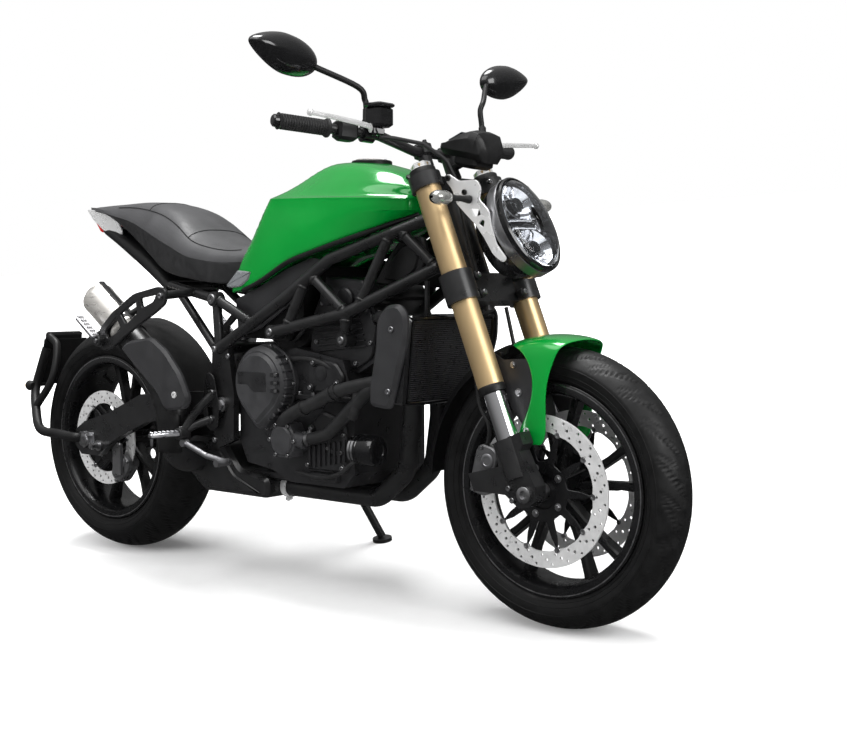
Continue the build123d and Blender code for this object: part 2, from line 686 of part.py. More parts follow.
with BuildPart() as brake_hoses:
    bent(
        [
            port, port + caliper_up * 40,
            on_fork(-70, -BRAKE_HOSE_Y - 2, 215), on_fork(-56, -BRAKE_HOSE_Y, 280),
            on_fork(-40, -BRAKE_HOSE_Y, 350), on_fork(-30, -BRAKE_HOSE_Y, LOWER_CLAMP[0] - 0.8),
        ],
        (45, 60, 80, 80), BRAKE_HOSE_RADIUS,
    )
    mirror(about=Plane.XZ)
    perch_face = on_bar(PERCH[0]) + Vector(17, 0, -5)
    bent(
        [
            perch_face, perch_face - BAR_RUN * 34 + Vector(6, 0, 0),
            STEERED + Vector(446, -112, 1034), STEERED + Vector(482, -78, 1000),
            STEERED + Vector(500, -62, 950), STEERED + Vector(506, -59, 902),
            STEERED + Vector(518, -55, 850), on_fork(10, -48, LOWER_CLAMP[1] + 0.6),
        ],
        (30, 40, 45, 60, 60, 60), BRAKE_HOSE_RADIUS,
    )
PARTS["brake_hoses"] = brake_hoses

# Frame: steering head, a trellis of round tubes each side, and plates round the swingarm pivot

HEAD_LOW = on_fork(-STEM_OFFSET, 0, HEAD_TUBE[0])
HEAD_HIGH = on_fork(-STEM_OFFSET, 0, HEAD_TUBE[1])
UPPER_BEND = on_fork(-72.3, -60, 653.7)
LOWER_BEND = on_fork(-80.5, -62, 542.7)
UPPER_RAIL = [
    on_fork(-STEM_OFFSET - 12, -14, 626), UPPER_BEND, on_fork(-140.5, -92, 653.2), Vector(180, -130, 790),
    Vector(42, -150, 695), Vector(-182, -150, 577),
]
LOWER_RAIL = [
    on_fork(-STEM_OFFSET - 12, -14, 532), LOWER_BEND, Vector(233, -132, 668), Vector(18, -156, 622),
]
DIAGONALS = [
    (on_fork(-127, -86, 652), LOWER_BEND),
    (on_fork(-149, -95, 653.4), Vector(262, -122, 684)),
    (Vector(128, -138, 755), Vector(233, -132, 668)),
    (Vector(112, -140, 744), Vector(60, -152, 632)),
    (Vector(233, -132, 668), Vector(223, -126, 606)),
]
BOSS = Vector(-198, -140, 700)
BOSS_RADIUS = 18.0
RAIL_RADIUS = FRAME_TUBE - 2
SUBFRAME_START = BOSS + Vector(-BOSS_RADIUS - 0.7, 12, 0)
SUBFRAME_END = Vector(-440, -84, 736)

# The side stand swings about a slanted pin, so that it folds back beside the machine

STAND_PIVOT = Vector(-152, 173, 372)
STAND_PIN = 6.0
STAND_FOOT_Y = 300.0
GROUND_NORMAL = Vector(0, -sin(radians(LEAN)), cos(radians(LEAN)))
STAND_FOOT = Vector(-44, STAND_FOOT_Y, STAND_FOOT_Y * tan(radians(LEAN)))
STAND_RUN = (STAND_FOOT - STAND_PIVOT).normalized()
STAND_FOLDED = Vector(-0.97, 0.12, -0.16).normalized()
STAND_AXIS = STAND_RUN.cross(STAND_FOLDED).normalized()
STAND_FOLD = round(degrees(acos(STAND_RUN.dot(STAND_FOLDED))))

PLATE_OUTLINE = [(-205, 590), (-150, 590), (-128, 470), (-132, 352), (-190, 330), (-215, 400), (-212, 480)]
PLATE_INNER = 132.0

with BuildPart() as frame:
    strut(HEAD_LOW, HEAD_HIGH, HEAD_RADIUS)
    for rail in (UPPER_RAIL, LOWER_RAIL):
        for start, end in zip(rail, rail[1:]):
            strut(start, end, FRAME_TUBE)
        for joint in rail[1:-1]:
            with Locations(joint):
                Sphere(FRAME_TUBE)
    for start, end in DIAGONALS:
        strut(start, end, FRAME_TUBE - 2)
    strut(Vector(18, -ENGINE_HALF, 622), Vector(18, -166, 622), 17)
    strut(Vector(223, -CYLINDER_HALF, 606), Vector(223, -138, 606), 17)
    strut(BOSS, Vector(-182, -146, 577), FRAME_TUBE - 2)
    strut(BOSS, Vector(-60, -150, 642), FRAME_TUBE - 2)
    strut(BOSS + Vector(0, 12, 0), BOSS + Vector(0, -16, 0), BOSS_RADIUS)
    side_plate(PLATE_OUTLINE, PLATE_INNER, 18)
    mirror(about=Plane.XZ)
    strut(Vector(-182, -150, 577), Vector(-182, 150, 577), FRAME_TUBE)
    strut(STAND_PIVOT - STAND_AXIS * 27, STAND_PIVOT + STAND_AXIS * 14, STAND_PIN)
    strut(HEAD_LOW + (HEAD_LOW - HEAD_HIGH), HEAD_HIGH * 2 - HEAD_LOW, STEM_RADIUS + GAP, Mode.SUBTRACT)
    strut(PIVOT + Vector(0, -160, 0), PIVOT + Vector(0, 160, 0), 12 + GAP, Mode.SUBTRACT)
PARTS["frame"] = frame


with BuildPart() as subframe:
    strut(SUBFRAME_START, SUBFRAME_END, RAIL_RADIUS)
    strut(Vector(-216, -120, 566), SUBFRAME_END + Vector(20, 0, -4), RAIL_RADIUS - 1)
    mirror(about=Plane.XZ)
    strut(SUBFRAME_END, SUBFRAME_END - Vector(0, 2 * SUBFRAME_END.Y, 0), RAIL_RADIUS)
PARTS["subframe"] = subframe

# Swingarm and rear shock

ARM_ROOT_TOP = [(-62, 28), (-130, 26)]      # from the pivot
ARM_ROOT_LOW = [(-130, -36), (-62, -28)]
ARM_END = [                                 # from the rear axle
    (233, 135), (90, 77), (-15, 49), (-56, 25), (-60, -19), (-32, -43), (40, -43), (110, 3), (250, 61),
]
ARM_OUTLINE = beside(PIVOT, ARM_ROOT_TOP) + beside(REAR_AXLE, ARM_END) + beside(PIVOT, ARM_ROOT_LOW)
NECK_OUTLINE = beside(PIVOT, [(4, 28), (-100, 28), (-100, -28), (4, -28)])
PIVOT_RADIUS = 28.0
BRACE = Vector(REAR_AXLE.X + REAR_TYRE_RADIUS + 70, 0, PIVOT.Z - 12)
BRACE_LENGTH = 56.0

with BuildPart() as swingarm:
    side_plate(ARM_OUTLINE, ARM_INNER, ARM_THICK)
    side_plate(NECK_OUTLINE, 96, PLATE_INNER - GAP - 96)
    strut(PIVOT + Vector(0, -PLATE_INNER + GAP, 0), PIVOT, PIVOT_RADIUS)
    mirror(about=Plane.XZ)
    with Locations(BRACE):
        Box(BRACE_LENGTH, 2 * ARM_INNER, 50)
    for side in (-1, 1):
        outer = Vector(0, side * (ARM_OUTER + 1), 0)
        strut(REAR_AXLE + outer * 0.8, REAR_AXLE + outer, REAR_AXLE_RADIUS + GAP, Mode.SUBTRACT)
    strut(PIVOT + Vector(0, -160, 0), PIVOT + Vector(0, 160, 0), 12 + GAP, Mode.SUBTRACT)
PARTS["swingarm"] = swingarm

with BuildPart() as pivot_bolt:
    strut(PIVOT + Vector(0, -152, 0), PIVOT + Vector(0, 152, 0), 12)
    strut(PIVOT + Vector(0, -158, 0), PIVOT + Vector(0, -150 - GAP, 0), 19)
    strut(PIVOT + Vector(0, 158, 0), PIVOT + Vector(0, 150 + GAP, 0), 19)
PARTS["pivot_bolt"] = pivot_bolt

SHOCK_FOOT = BRACE + Vector(16, 0, 32.3)
SHOCK_HEAD = Vector(-228, 0, 640)

with BuildPart() as rear_shock:
    strut(SHOCK_FOOT, SHOCK_HEAD, 14)
    shock_run = SHOCK_HEAD - SHOCK_FOOT
    strut(SHOCK_FOOT + shock_run * 0.16, SHOCK_FOOT + shock_run * 0.8, 31)
    strut(SHOCK_HEAD + Vector(0, -20, 0), SHOCK_HEAD + Vector(0, 20, 0), 17)
PARTS["rear_shock"] = rear_shock

# Engine block with its side covers, water pump, hoses, oil filter and radiator

CRANKCASE = [(-20, 288), (40, 264), (215, 264), (250, 300), (250, 470), (215, 560), (60, 585), (-20, 562)]
GEARBOX = [(-20, 288), (-108, 300), (-134, 350), (-134, 500), (-96, 560), (-20, 562)]
CYLINDERS = [(85, 570), (240, 530), (296, 560), (310, 640), (255, 735), (140, 745), (95, 660)]
PORT = Vector(301.5, 0, 590)

with BuildPart() as engine:
    side_plate(CRANKCASE, -ENGINE_HALF, 2 * ENGINE_HALF)
    side_plate(GEARBOX, -90, 90 + ENGINE_HALF)
    side_plate(CYLINDERS, -CYLINDER_HALF, 2 * CYLINDER_HALF)
PARTS["engine"] = engine

CLUTCH = Vector(-4, 0, 490)
CLUTCH_RADIUS = 94.0
COVER_Y = ENGINE_HALF + 47     # outer faces of the side covers
PUMP = Vector(57, 0, 368)
PUMP_RADIUS = 44.0
ALTERNATOR = Vector(95, 0, 430)
SPROCKET_COVER = [(-122, 404), (-118, 500), (-60, 520), (-8, 500), (-8, 400), (-60, 384)]

with BuildPart() as engine_covers:
    side = Vector(0, -1, 0)
    strut(CLUTCH + side * ENGINE_HALF, CLUTCH + side * COVER_Y, CLUTCH_RADIUS)
    strut(CLUTCH + side * COVER_Y, CLUTCH + side * (COVER_Y + 14), CLUTCH_RADIUS - 20)
    lobe = CLUTCH + Vector(-18, 0, -66)
    strut(lobe + side * ENGINE_HALF, lobe + side * (COVER_Y - 8), 34)
    strut(PUMP + side * ENGINE_HALF, PUMP + side * (COVER_Y + 6), PUMP_RADIUS)
    strut(ALTERNATOR - side * ENGINE_HALF, ALTERNATOR - side * COVER_Y, 86)
    side_plate(SPROCKET_COVER, -CHAIN_INNER_Y - CHAIN_WIDTH - 8, -26, 12)
PARTS["engine_covers"] = engine_covers

FILTER = Vector(250, -118, 357)

with BuildPart() as oil_filter:
    strut(FILTER, FILTER + Vector(70, 0, 0), 35)
PARTS["oil_filter"] = oil_filter

RADIATOR_LOW = Vector(406, 0, 470)
RADIATOR_HIGH = Vector(426, 0, 662)
RADIATOR_THICK = 30.0
RADIATOR_HALF = 158.0
RADIATOR_HANG = LOWER_BEND.Z - 2 * FRAME_TUBE - RADIATOR_HIGH.Z + 1.5
RADIATOR_UP = (RADIATOR_HIGH - RADIATOR_LOW).normalized()
RADIATOR_BACK = Vector(-RADIATOR_UP.Z, 0, RADIATOR_UP.X) * (RADIATOR_THICK / 2)

with BuildPart() as radiator:
    with Locations(Plane(origin=RADIATOR_LOW, x_dir=(0, 1, 0), z_dir=RADIATOR_UP).location):
        Box(2 * RADIATOR_HALF, RADIATOR_THICK, (RADIATOR_HIGH - RADIATOR_LOW).length, align=MIN_Z)
    for side in (-1, 1):
        hanger = RADIATOR_HIGH + Vector(-6, side * 69, -2)
        strut(hanger, hanger + Vector(0, 0, RADIATOR_HANG), 6)
PARTS["radiator"] = radiator

SHROUD_OUTLINE = [(361, 458), (348, 533), (382, 640), (411, 690), (440, 672), (430, 540), (408, 466)]

with BuildPart() as radiator_shrouds:
    side_plate(SHROUD_OUTLINE, RADIATOR_HALF + GAP, 12, 8)
    mirror(about=Plane.XZ)
PARTS["radiator_shrouds"] = radiator_shrouds

HOSE_RADIUS = 15.0
HOSE_Y = ENGINE_HALF + HOSE_RADIUS + 8

with BuildPart() as coolant_hoses:
    hose_start = RADIATOR_LOW + RADIATOR_UP * 30 + RADIATOR_BACK * 1.03 + Vector(-3, 12 - HOSE_Y, 0)
    pump_inlet = PUMP + Vector(PUMP_RADIUS + 5, -HOSE_Y, 0)
    bent(
        [hose_start, hose_start + Vector(-70, -12, 0), PUMP + Vector(130, -HOSE_Y, 20), pump_inlet],
        40, HOSE_RADIUS,
    )
PARTS["coolant_hoses"] = coolant_hoses

# Exhaust: two headers, the box under the gearbox, the link pipe and the silencer

BOX_OUTLINE = [
    (-50, 212), (-290, 212), (-350, 258), (-366, 326), (-332, 350), (-205, 342), (-150, 276), (-50, 262),
]
BOX_RIGHT = 115.0
BOX_LEFT = 86.0
BOX_FRONT = -50.0
PORT_NORMAL = Vector(80, 0, -14).normalized()
HEADER_BEND = (24, 45, 60, 70, 60)
HEADER_PATH = [
    PORT, PORT + PORT_NORMAL * 38, Vector(358, 0, 520), Vector(360, 0, 430), Vector(342, 0, 306),
    Vector(258, 0, 237), Vector(BOX_FRONT, 0, 237),
]

with BuildPart() as exhaust_headers:
    bent([point + Vector(0, -HEADER_Y, 0) for point in HEADER_PATH], HEADER_BEND, HEADER_RADIUS)
    mirror(about=Plane.XZ)
PARTS["exhaust_headers"] = exhaust_headers

with BuildPart() as exhaust_box:
    side_plate(BOX_OUTLINE, -BOX_LEFT, BOX_LEFT + BOX_RIGHT, 8)
PARTS["exhaust_box"] = exhaust_box

SILENCER_START = Vector(-518, -164, 610)
SILENCER_END = Vector(-668, -150, 704)
SILENCER_RUN = (SILENCER_END - SILENCER_START).normalized()
LINK_RADIUS = 38.0
LINK_Y = 192.0

with BuildPart() as exhaust_link:
    bent(
        [
            Vector(-302, -BOX_RIGHT, 300), Vector(-302, -LINK_Y, 300), Vector(-302, -LINK_Y, 440),
            SILENCER_START - SILENCER_RUN * 96, SILENCER_START,
        ],
        46, LINK_RADIUS,
    )
PARTS["exhaust_link"] = exhaust_link

with BuildPart() as silencer:
    strut(SILENCER_START, SILENCER_END, MUFFLER_RADIUS)
    strut(SILENCER_END - SILENCER_RUN, SILENCER_END + SILENCER_RUN * 14, MUFFLER_RADIUS - 12)
PARTS["silencer"] = silencer

# Fuel tank, seat and tail

TANK_REAR = Plane(origin=(-20, 0, 942), x_dir=(0, 1, 0), z_dir=(-0.845, 0, 0.535))
TANK_SECTIONS = [
    (362, 884, 58, 905, 84, 948, 60, 968),
    (330, 872, 80, 900, 110, 956, 80, 988),
    (280, 854, 106, 896, 134, 963, 98, 1005),
    (210, 832, 130, 902, 150, 972, 104, 1019),
    (130, 810, 138, 906, 153, 975, 105, 1022),
    (50, 788, 138, 906, 151, 970, 100, 1015),
    (-30, 752, 134, 890, 146, 958, 94, 998),
    (-100, 728, 128, 872, 138, 944, 87, 975),
    (-165, 716, 122, 860, 130, 930, 82, 955),
]

with BuildPart() as fuel_tank:
    loft([hull_section(*values) for values in TANK_SECTIONS], ruled=True)
    split(bisect_by=TANK_REAR, keep=Keep.BOTTOM)
PARTS["fuel_tank"] = fuel_tank

SEAT_SECTIONS = [
    (-60, 736, 70, 790, 84, 832, 52, 846),
    (-130, 737, 98, 790, 106, 828, 70, 838),
    (-200, 738, 116, 790, 120, 826, 84, 836),
    (-270, 744, 121, 797, 125, 837, 90, 848),
    (-330, 753, 122, 808, 126, 857, 92, 870),
    (-390, 763, 116, 830, 122, 900, 87, 913),
    (-450, 780, 106, 852, 115, 928, 80, 941),
    (-520, 818, 92, 880, 104, 944, 74, 956),
    (-600, 862, 76, 908, 90, 952, 66, 963),
    (-700, 908, 56, 930, 72, 954, 52, 963),
    (-780, 936, 40, 946, 54, 957, 40, 963),
    (-856, 952, 20, 955, 28, 959, 20, 962),
]

with BuildPart() as seat:
    loft([hull_section(*values) for values in SEAT_SECTIONS], ruled=True)
    split(bisect_by=TANK_REAR.offset(2 * GAP), keep=Keep.TOP)
    under_seat = SUBFRAME_START + (SUBFRAME_END - SUBFRAME_START) * 0.33
    for side in (-1, 1):
        seat_foot = Vector(under_seat.X, side * under_seat.Y, under_seat.Z + RAIL_RADIUS + 1.6)
        strut(seat_foot, seat_foot + Vector(0, 0, 40), 6)
PARTS["seat"] = seat

TAIL_SECTIONS = [
    (SUBFRAME_END.X - RAIL_RADIUS - GAP, 708, 74, 726, 92, 748, 70, 756),
    (-560, 772, 64, 792, 78, 814, 60, 818),
    (-700, 842, 44, 858, 58, 876, 46, 882),
    (-790, 882, 30, 892, 38, 906, 30, 911),
]

with BuildPart() as tail_cowl:
    loft([hull_section(*values) for values in TAIL_SECTIONS], ruled=True)
PARTS["tail_cowl"] = tail_cowl

with BuildPart() as tail_light:
    side_plate([(-790.3, 884), (-790.3, 908), (-846, 934), (-838, 910), (-806, 884)], -26, 52, 3)
PARTS["tail_light"] = tail_light

# Airbox and the panels beside it, under the tank

PANEL_INNER = 112.0
AIRBOX = [(-150, 606), (-158, 692), (-70, 722), (40, 772), (78, 780), (78, 664), (30, 600)]
SIDE_PANEL = [(-150, 700), (-70, 728), (30, 772), (110, 796), (150, 790), (60, 700), (-60, 630), (-140, 606)]
PANEL_PEG = Vector(20, 0, 690)

with BuildPart() as airbox:
    side_plate(AIRBOX, -PANEL_INNER, 2 * PANEL_INNER, 6)
PARTS["airbox"] = airbox

with BuildPart() as side_panels:
    side_plate(SIDE_PANEL, PANEL_INNER, 6)
    strut(PANEL_PEG + Vector(0, -PANEL_INNER - 5, 0), PANEL_PEG + Vector(0, -150 + FRAME_TUBE + GAP, 0), 6)
    mirror(about=Plane.XZ)
PARTS["side_panels"] = side_panels

# Rear mudguard and the plate holder on the swingarm

HUGGER = (14.0, 84.0)
HUGGER_INNER = REAR_TYRE_RADIUS + 14
HUGGER_THICK = 4.0
TONGUE_Z = BRACE.Z - 8
HUGGER_X = REAR_AXLE.X + sqrt((HUGGER_INNER + HUGGER_THICK / 2) ** 2 - (TONGUE_Z - REAR_AXLE.Z) ** 2)

with BuildPart() as rear_hugger:
    guard_arc(REAR_AXLE, *HUGGER, CHAIN_INNER_Y - 2, HUGGER_INNER, HUGGER_THICK, 16)
    for y in (-40, 40):
        root = Vector(HUGGER_X - 3, y, TONGUE_Z)
        strut(root, Vector(BRACE.X - BRACE_LENGTH / 2, y, TONGUE_Z), 8)
PARTS["rear_hugger"] = rear_hugger

HOLDER_Y = ARM_OUTER + 22
HOLDER_X = REAR_AXLE.X - REAR_TYRE_RADIUS - 13

with BuildPart() as plate_holder:
    arm_start = REAR_AXLE + Vector(-34, -ARM_OUTER - GAP, 4)
    bent(
        [
            arm_start, arm_start + Vector(0, -21.5, 0), Vector(HOLDER_X + 128, -HOLDER_Y, 330),
            Vector(HOLDER_X - 4, -92, 430), Vector(HOLDER_X + 28, -70, 560),
        ],
        (10, 40, 40), 9,
    )
    with Locations(Plane(origin=(HOLDER_X, 0, 452), x_dir=(0, 1, 0), z_dir=(0.24, 0, 0.97)).location):
        Box(170, 8, 150, align=MIN_Z)
    with Locations((HOLDER_X - 8, -104, 448), (HOLDER_X - 8, 104, 448)):
        Box(24, 44, 24)
PARTS["plate_holder"] = plate_holder

# Foot controls, stand and rear brake

PEG_ROOT = Vector(-235, -226, 370)
PEG_TIP = Vector(-266, -302, 368)

with BuildPart() as footpegs:
    strut(PEG_ROOT, PEG_TIP, 12)
    strut(Vector(-194, -156.2, 404), PEG_ROOT, 9)
    strut(Vector(-186, -158.2, 470), PEG_ROOT, 9)
    strut(PEG_ROOT + Vector(0, 10, 0), PEG_ROOT + Vector(0, -10, 0), 15)
    mirror(about=Plane.XZ)
PARTS["footpegs"] = footpegs

with BuildPart() as foot_pedals:
    pedal_eye = PEG_ROOT + Vector(10, 0, -22.5)
    strut(pedal_eye + Vector(0, 9, 0), pedal_eye + Vector(0, -9, 0), 9)
    bent([pedal_eye, PEG_ROOT + Vector(90, 0, -48), PEG_ROOT + Vector(160, 0, -58)], 20, 7)
    strut(PEG_ROOT + Vector(160, 10, -58), PEG_ROOT + Vector(160, -32, -58), 9)
    mirror(about=Plane.XZ)
PARTS["foot_pedals"] = foot_pedals

with BuildPart() as passenger_hangers:
    elbow = Vector(-384, -218, 694)
    peg = Vector(-545, -224, 588)
    hanger = SUBFRAME_START + (SUBFRAME_END - SUBFRAME_START) * 0.47 + Vector(0, -RAIL_RADIUS - 2.9, 0)
    bent([hanger, elbow, peg], 30, 9)
    strut(peg + Vector(0, 12, 0), peg + Vector(0, -12, 0), 14)
    strut(peg, peg + Vector(-62, -8, -30), 10)
    mirror(about=Plane.XZ)
PARTS["passenger_hangers"] = passenger_hangers

with BuildPart() as rear_brake:
    caliper(REAR_AXLE, -42, -REAR_DISC_Y, REAR_DISC_RADIUS, 42, 82, 46)
    with Locations(REAR_AXLE + Vector(88, -114.5, -52)):
        Box(34, 15 - 2 * GAP, 92)
PARTS["rear_brake"] = rear_brake

with BuildPart() as side_stand:
    strut(STAND_PIVOT, STAND_FOOT + GROUND_NORMAL * 12, 11)
    strut(STAND_FOOT, STAND_FOOT + GROUND_NORMAL * 9, 26)
    strut(STAND_PIVOT - STAND_AXIS * 12, STAND_PIVOT + STAND_AXIS * 12, 15)
    strut(STAND_PIVOT - STAND_AXIS * 20, STAND_PIVOT + STAND_AXIS * 20, STAND_PIN + GAP, Mode.SUBTRACT)
PARTS["side_stand"] = side_stand

# Lean the machine onto its stand, centre it over the origin and write one file for each piece

os.makedirs("parts", exist_ok=True)
LEANED = Location((0, 0, 0), (-LEAN, 0, 0))
leaned = {name: LEANED * builder.part for name, builder in PARTS.items()}
boxes = [part.bounding_box() for part in leaned.values()]
MIDDLE_X = (min(box.min.X for box in boxes) + max(box.max.X for box in boxes)) / 2
MIDDLE_Y = (min(box.min.Y for box in boxes) + max(box.max.Y for box in boxes)) / 2
CENTRED = Location((-MIDDLE_X, -MIDDLE_Y, 0))

for name, part in leaned.items():
    placed = CENTRED * part
    placed.label = name
    export_step(placed, f"parts/{name}.step")
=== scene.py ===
import bpy
import bmesh
import json
from math import atan2, cos, hypot, pi, radians, sin, sqrt
from mathutils import Matrix, Vector


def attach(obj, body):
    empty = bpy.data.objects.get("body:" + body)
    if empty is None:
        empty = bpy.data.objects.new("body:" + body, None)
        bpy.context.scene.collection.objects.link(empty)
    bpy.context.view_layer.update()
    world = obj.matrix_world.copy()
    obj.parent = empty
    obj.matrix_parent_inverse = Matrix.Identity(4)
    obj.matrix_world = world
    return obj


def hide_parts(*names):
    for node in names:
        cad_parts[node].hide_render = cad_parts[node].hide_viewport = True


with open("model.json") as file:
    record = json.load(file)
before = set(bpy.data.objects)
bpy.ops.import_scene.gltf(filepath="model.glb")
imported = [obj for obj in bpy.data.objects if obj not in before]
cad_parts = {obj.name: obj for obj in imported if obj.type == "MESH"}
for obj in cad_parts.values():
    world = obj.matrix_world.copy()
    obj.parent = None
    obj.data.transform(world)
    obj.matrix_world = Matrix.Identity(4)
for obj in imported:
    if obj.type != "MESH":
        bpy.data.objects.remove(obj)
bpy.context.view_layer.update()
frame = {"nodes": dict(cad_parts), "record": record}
nodes = frame["nodes"]

# Sizes shared with the solids, in mm on the upright machine: X forward, Y left, Z up

LEAN = 9.0
RAKE = 22.0
FRONT_AXLE = Vector((730, 0, 300))
REAR_AXLE = Vector((-730, 0, 315))
AXLE_LEAD = 13.0
LEG_Y = 112.0
FORWARD = Vector((1, 0, 0))
LEFT = Vector((0, 1, 0))
RIGHT = Vector((0, -1, 0))
UP = Vector((0, 0, 1))

# The machine leans on its stand: this matrix takes upright mm to metres in the shared frame

front_joint = [j for j in frame["record"]["behaviour"]["joints"] if j["name"] == "front_wheel_turn"][0]
hub = Vector(front_joint["pos_m"])
lean_turn = Matrix.Rotation(radians(-LEAN), 4, "X")
BIKE = Matrix.Translation(hub - lean_turn @ (FRONT_AXLE / 1000)) @ lean_turn @ Matrix.Scale(0.001, 4)

FORK_UP = Vector((-sin(radians(RAKE)), 0, cos(radians(RAKE))))
FORK_FORWARD = Vector((cos(radians(RAKE)), 0, sin(radians(RAKE))))
FORK_ROOT = FRONT_AXLE - FORK_FORWARD * AXLE_LEAD


def on_fork(forward, left, up):
    """A point given along the fork legs."""
    return FORK_ROOT + FORK_FORWARD * forward + LEFT * left + FORK_UP * up


# Materials

NOISE_LOW, NOISE_HIGH = 0.3, 0.7     # where most of the noise's values lie
GRAIN_HEIGHT = 0.0004
WHITE = (1, 1, 1, 1)


def new_material(name):
    """A material with its shader and the object's own coordinates."""
    made = bpy.data.materials.new(name)
    made.use_nodes = True
    tree = made.node_tree
    shader = tree.nodes["Principled BSDF"]
    place = tree.nodes.new("ShaderNodeTexCoord").outputs["Object"]
    return made, tree, shader, place


def noise(tree, place, scale, detail=4.0, stretch=None):
    """Soft noise at a scale in repeats per metre."""
    if stretch:
        mapping = tree.nodes.new("ShaderNodeMapping")
        mapping.inputs["Scale"].default_value = stretch
        tree.links.new(place, mapping.inputs["Vector"])
        place = mapping.outputs["Vector"]
    made = tree.nodes.new("ShaderNodeTexNoise")
    made.inputs["Scale"].default_value = scale
    made.inputs["Detail"].default_value = detail
    tree.links.new(place, made.inputs["Vector"])
    return made.outputs["Fac"]


def ramp(tree, value, stops):
    """Colours against a value."""
    made = tree.nodes.new("ShaderNodeValToRGB")
    while len(made.color_ramp.elements) < len(stops):
        made.color_ramp.elements.new(0.5)
    for element, (position, colour) in zip(made.color_ramp.elements, stops):
        element.position = position
        element.color = (*colour, 1)
    tree.links.new(value, made.inputs["Fac"])
    return made.outputs["Color"]


def map_range(tree, value, from_low, from_high, to_low, to_high):
    """A value taken from one range to another."""
    made = tree.nodes.new("ShaderNodeMapRange")
    made.inputs["From Min"].default_value = from_low
    made.inputs["From Max"].default_value = from_high
    made.inputs["To Min"].default_value = to_low
    made.inputs["To Max"].default_value = to_high
    tree.links.new(value, made.inputs["Value"])
    return made.outputs["Result"]


def spread(tree, value, low, high):
    """A noise value laid out between two numbers."""
    return map_range(tree, value, NOISE_LOW, NOISE_HIGH, low, high)


def bump(tree, shader, height, strength, distance):
    """Surface relief from a height."""
    made = tree.nodes.new("ShaderNodeBump")
    made.inputs["Strength"].default_value = strength
    made.inputs["Distance"].default_value = distance
    tree.links.new(height, made.inputs["Height"])
    tree.links.new(made.outputs["Normal"], shader.inputs["Normal"])


def surface(name, colour, rough, metal=0.0, vary=0.15, scale=30.0, grain=0.0, grain_scale=900.0,
            coat=0.0, stretch=None, spread_rough=0.12, gloss=0.5):
    """A finish with colour and gloss that vary a little, and a fine grain."""
    made, tree, shader, place = new_material(name)
    cloud = noise(tree, place, scale, stretch=stretch)
    dark = [c * (1 - vary) for c in colour]
    light = [min(1, c * (1 + vary)) for c in colour]
    colours = ramp(tree, cloud, [(NOISE_LOW, dark), (NOISE_HIGH, light)])
    tree.links.new(colours, shader.inputs["Base Color"])
    roughness = spread(tree, cloud, max(0.02, rough - spread_rough), rough + spread_rough)
    tree.links.new(roughness, shader.inputs["Roughness"])
    shader.inputs["Metallic"].default_value = metal
    shader.inputs["Specular IOR Level"].default_value = gloss
    shader.inputs["Coat Weight"].default_value = coat
    shader.inputs["Coat Roughness"].default_value = 0.04
    if grain:
        bump(tree, shader, noise(tree, place, grain_scale, 2.0, stretch), grain, GRAIN_HEIGHT)
    return made


# Each finish: name, colour, roughness, metal, colour change, its scale, grain, its scale, coat

green_paint = surface(
    "green_paint", (0.0, 0.27, 0.032), 0.2, 0.15, 0.1, 6, 0.04, 2500, 0.8, spread_rough=0.03, gloss=0.4
)
rubber_tyre = surface("tyre_rubber", (0.006, 0.006, 0.0062), 0.5, 0, 0.25, 40, 0.25, 1400, gloss=0.25)
rim_black = surface("rim_black", (0.006, 0.006, 0.0065), 0.3, 0, 0.2, 25, 0.05, 1800, 0.2, gloss=0.4)
frame_black = surface(
    "frame_black", (0.011, 0.011, 0.0115), 0.34, 0, 0.2, 30, 0.08, 1500, 0.15, gloss=0.5
)
engine_black = surface("engine_black", (0.013, 0.013, 0.014), 0.38, 0, 0.25, 40, 0.3, 1100, gloss=0.5)
cover_grey = surface("cover_grey", (0.03, 0.03, 0.032), 0.4, 0, 0.2, 30, 0.25, 1300, gloss=0.45)
plastic_black = surface("plastic_black", (0.007, 0.007, 0.0073), 0.46, 0, 0.2, 25, 0.3, 1600, gloss=0.35)
plastic_gloss = surface(
    "plastic_gloss", (0.005, 0.005, 0.0055), 0.18, 0, 0.2, 20, 0.03, 1600, 0.6, spread_rough=0.06
)
plastic_grey = surface("plastic_grey", (0.023, 0.023, 0.0245), 0.42, 0, 0.15, 25, 0.25, 1500, gloss=0.4)
hose_rubber = surface("hose_rubber", (0.014, 0.014, 0.0145), 0.5, 0, 0.2, 60, 0.15, 900, gloss=0.4)
gold = surface("anodised_gold", (0.66, 0.48, 0.26), 0.36, 0.85, 0.08, 12, 0.03, 1600, stretch=(1, 1, 0.2))
chrome = surface("chrome", (0.82, 0.82, 0.84), 0.09, 1.0, 0.04, 12, 0, spread_rough=0.03)
silver = surface("satin_silver", (0.56, 0.56, 0.58), 0.34, 1.0, 0.08, 25, 0.08, 1500)
brushed = surface(
    "brushed_silver", (0.62, 0.6, 0.57), 0.34, 0.7, 0.1, 120, 0.25, 1500, stretch=(0.15, 1, 1)
)
steel = surface("steel", (0.5, 0.5, 0.51), 0.32, 1.0, 0.15, 60, 0.1, 1200)
disc_steel = surface("disc_steel", (0.7, 0.7, 0.7), 0.36, 0.45, 0.08, 60, 0.12, 900)
bright_metal = surface("bright_metal", (0.66, 0.66, 0.66), 0.3, 0.45, 0.04, 20, 0.02, 1200)
seat_vinyl = surface("seat_vinyl", (0.066, 0.066, 0.069), 0.5, 0, 0.12, 18, 0.5, 1100, gloss=0.4)
lamp_clear = surface("lamp_clear", (0.75, 0.75, 0.74), 0.15, 0, 0.05, 40, 0, coat=1.0)
caliper_grey = surface("caliper_grey", (0.2, 0.2, 0.205), 0.36, 0.8, 0.15, 30, 0.15, 1200)
lamp_bowl = surface("lamp_bowl", (0.06, 0.06, 0.065), 0.2, 0.6, 0.2, 40, 0.05, coat=0.5)
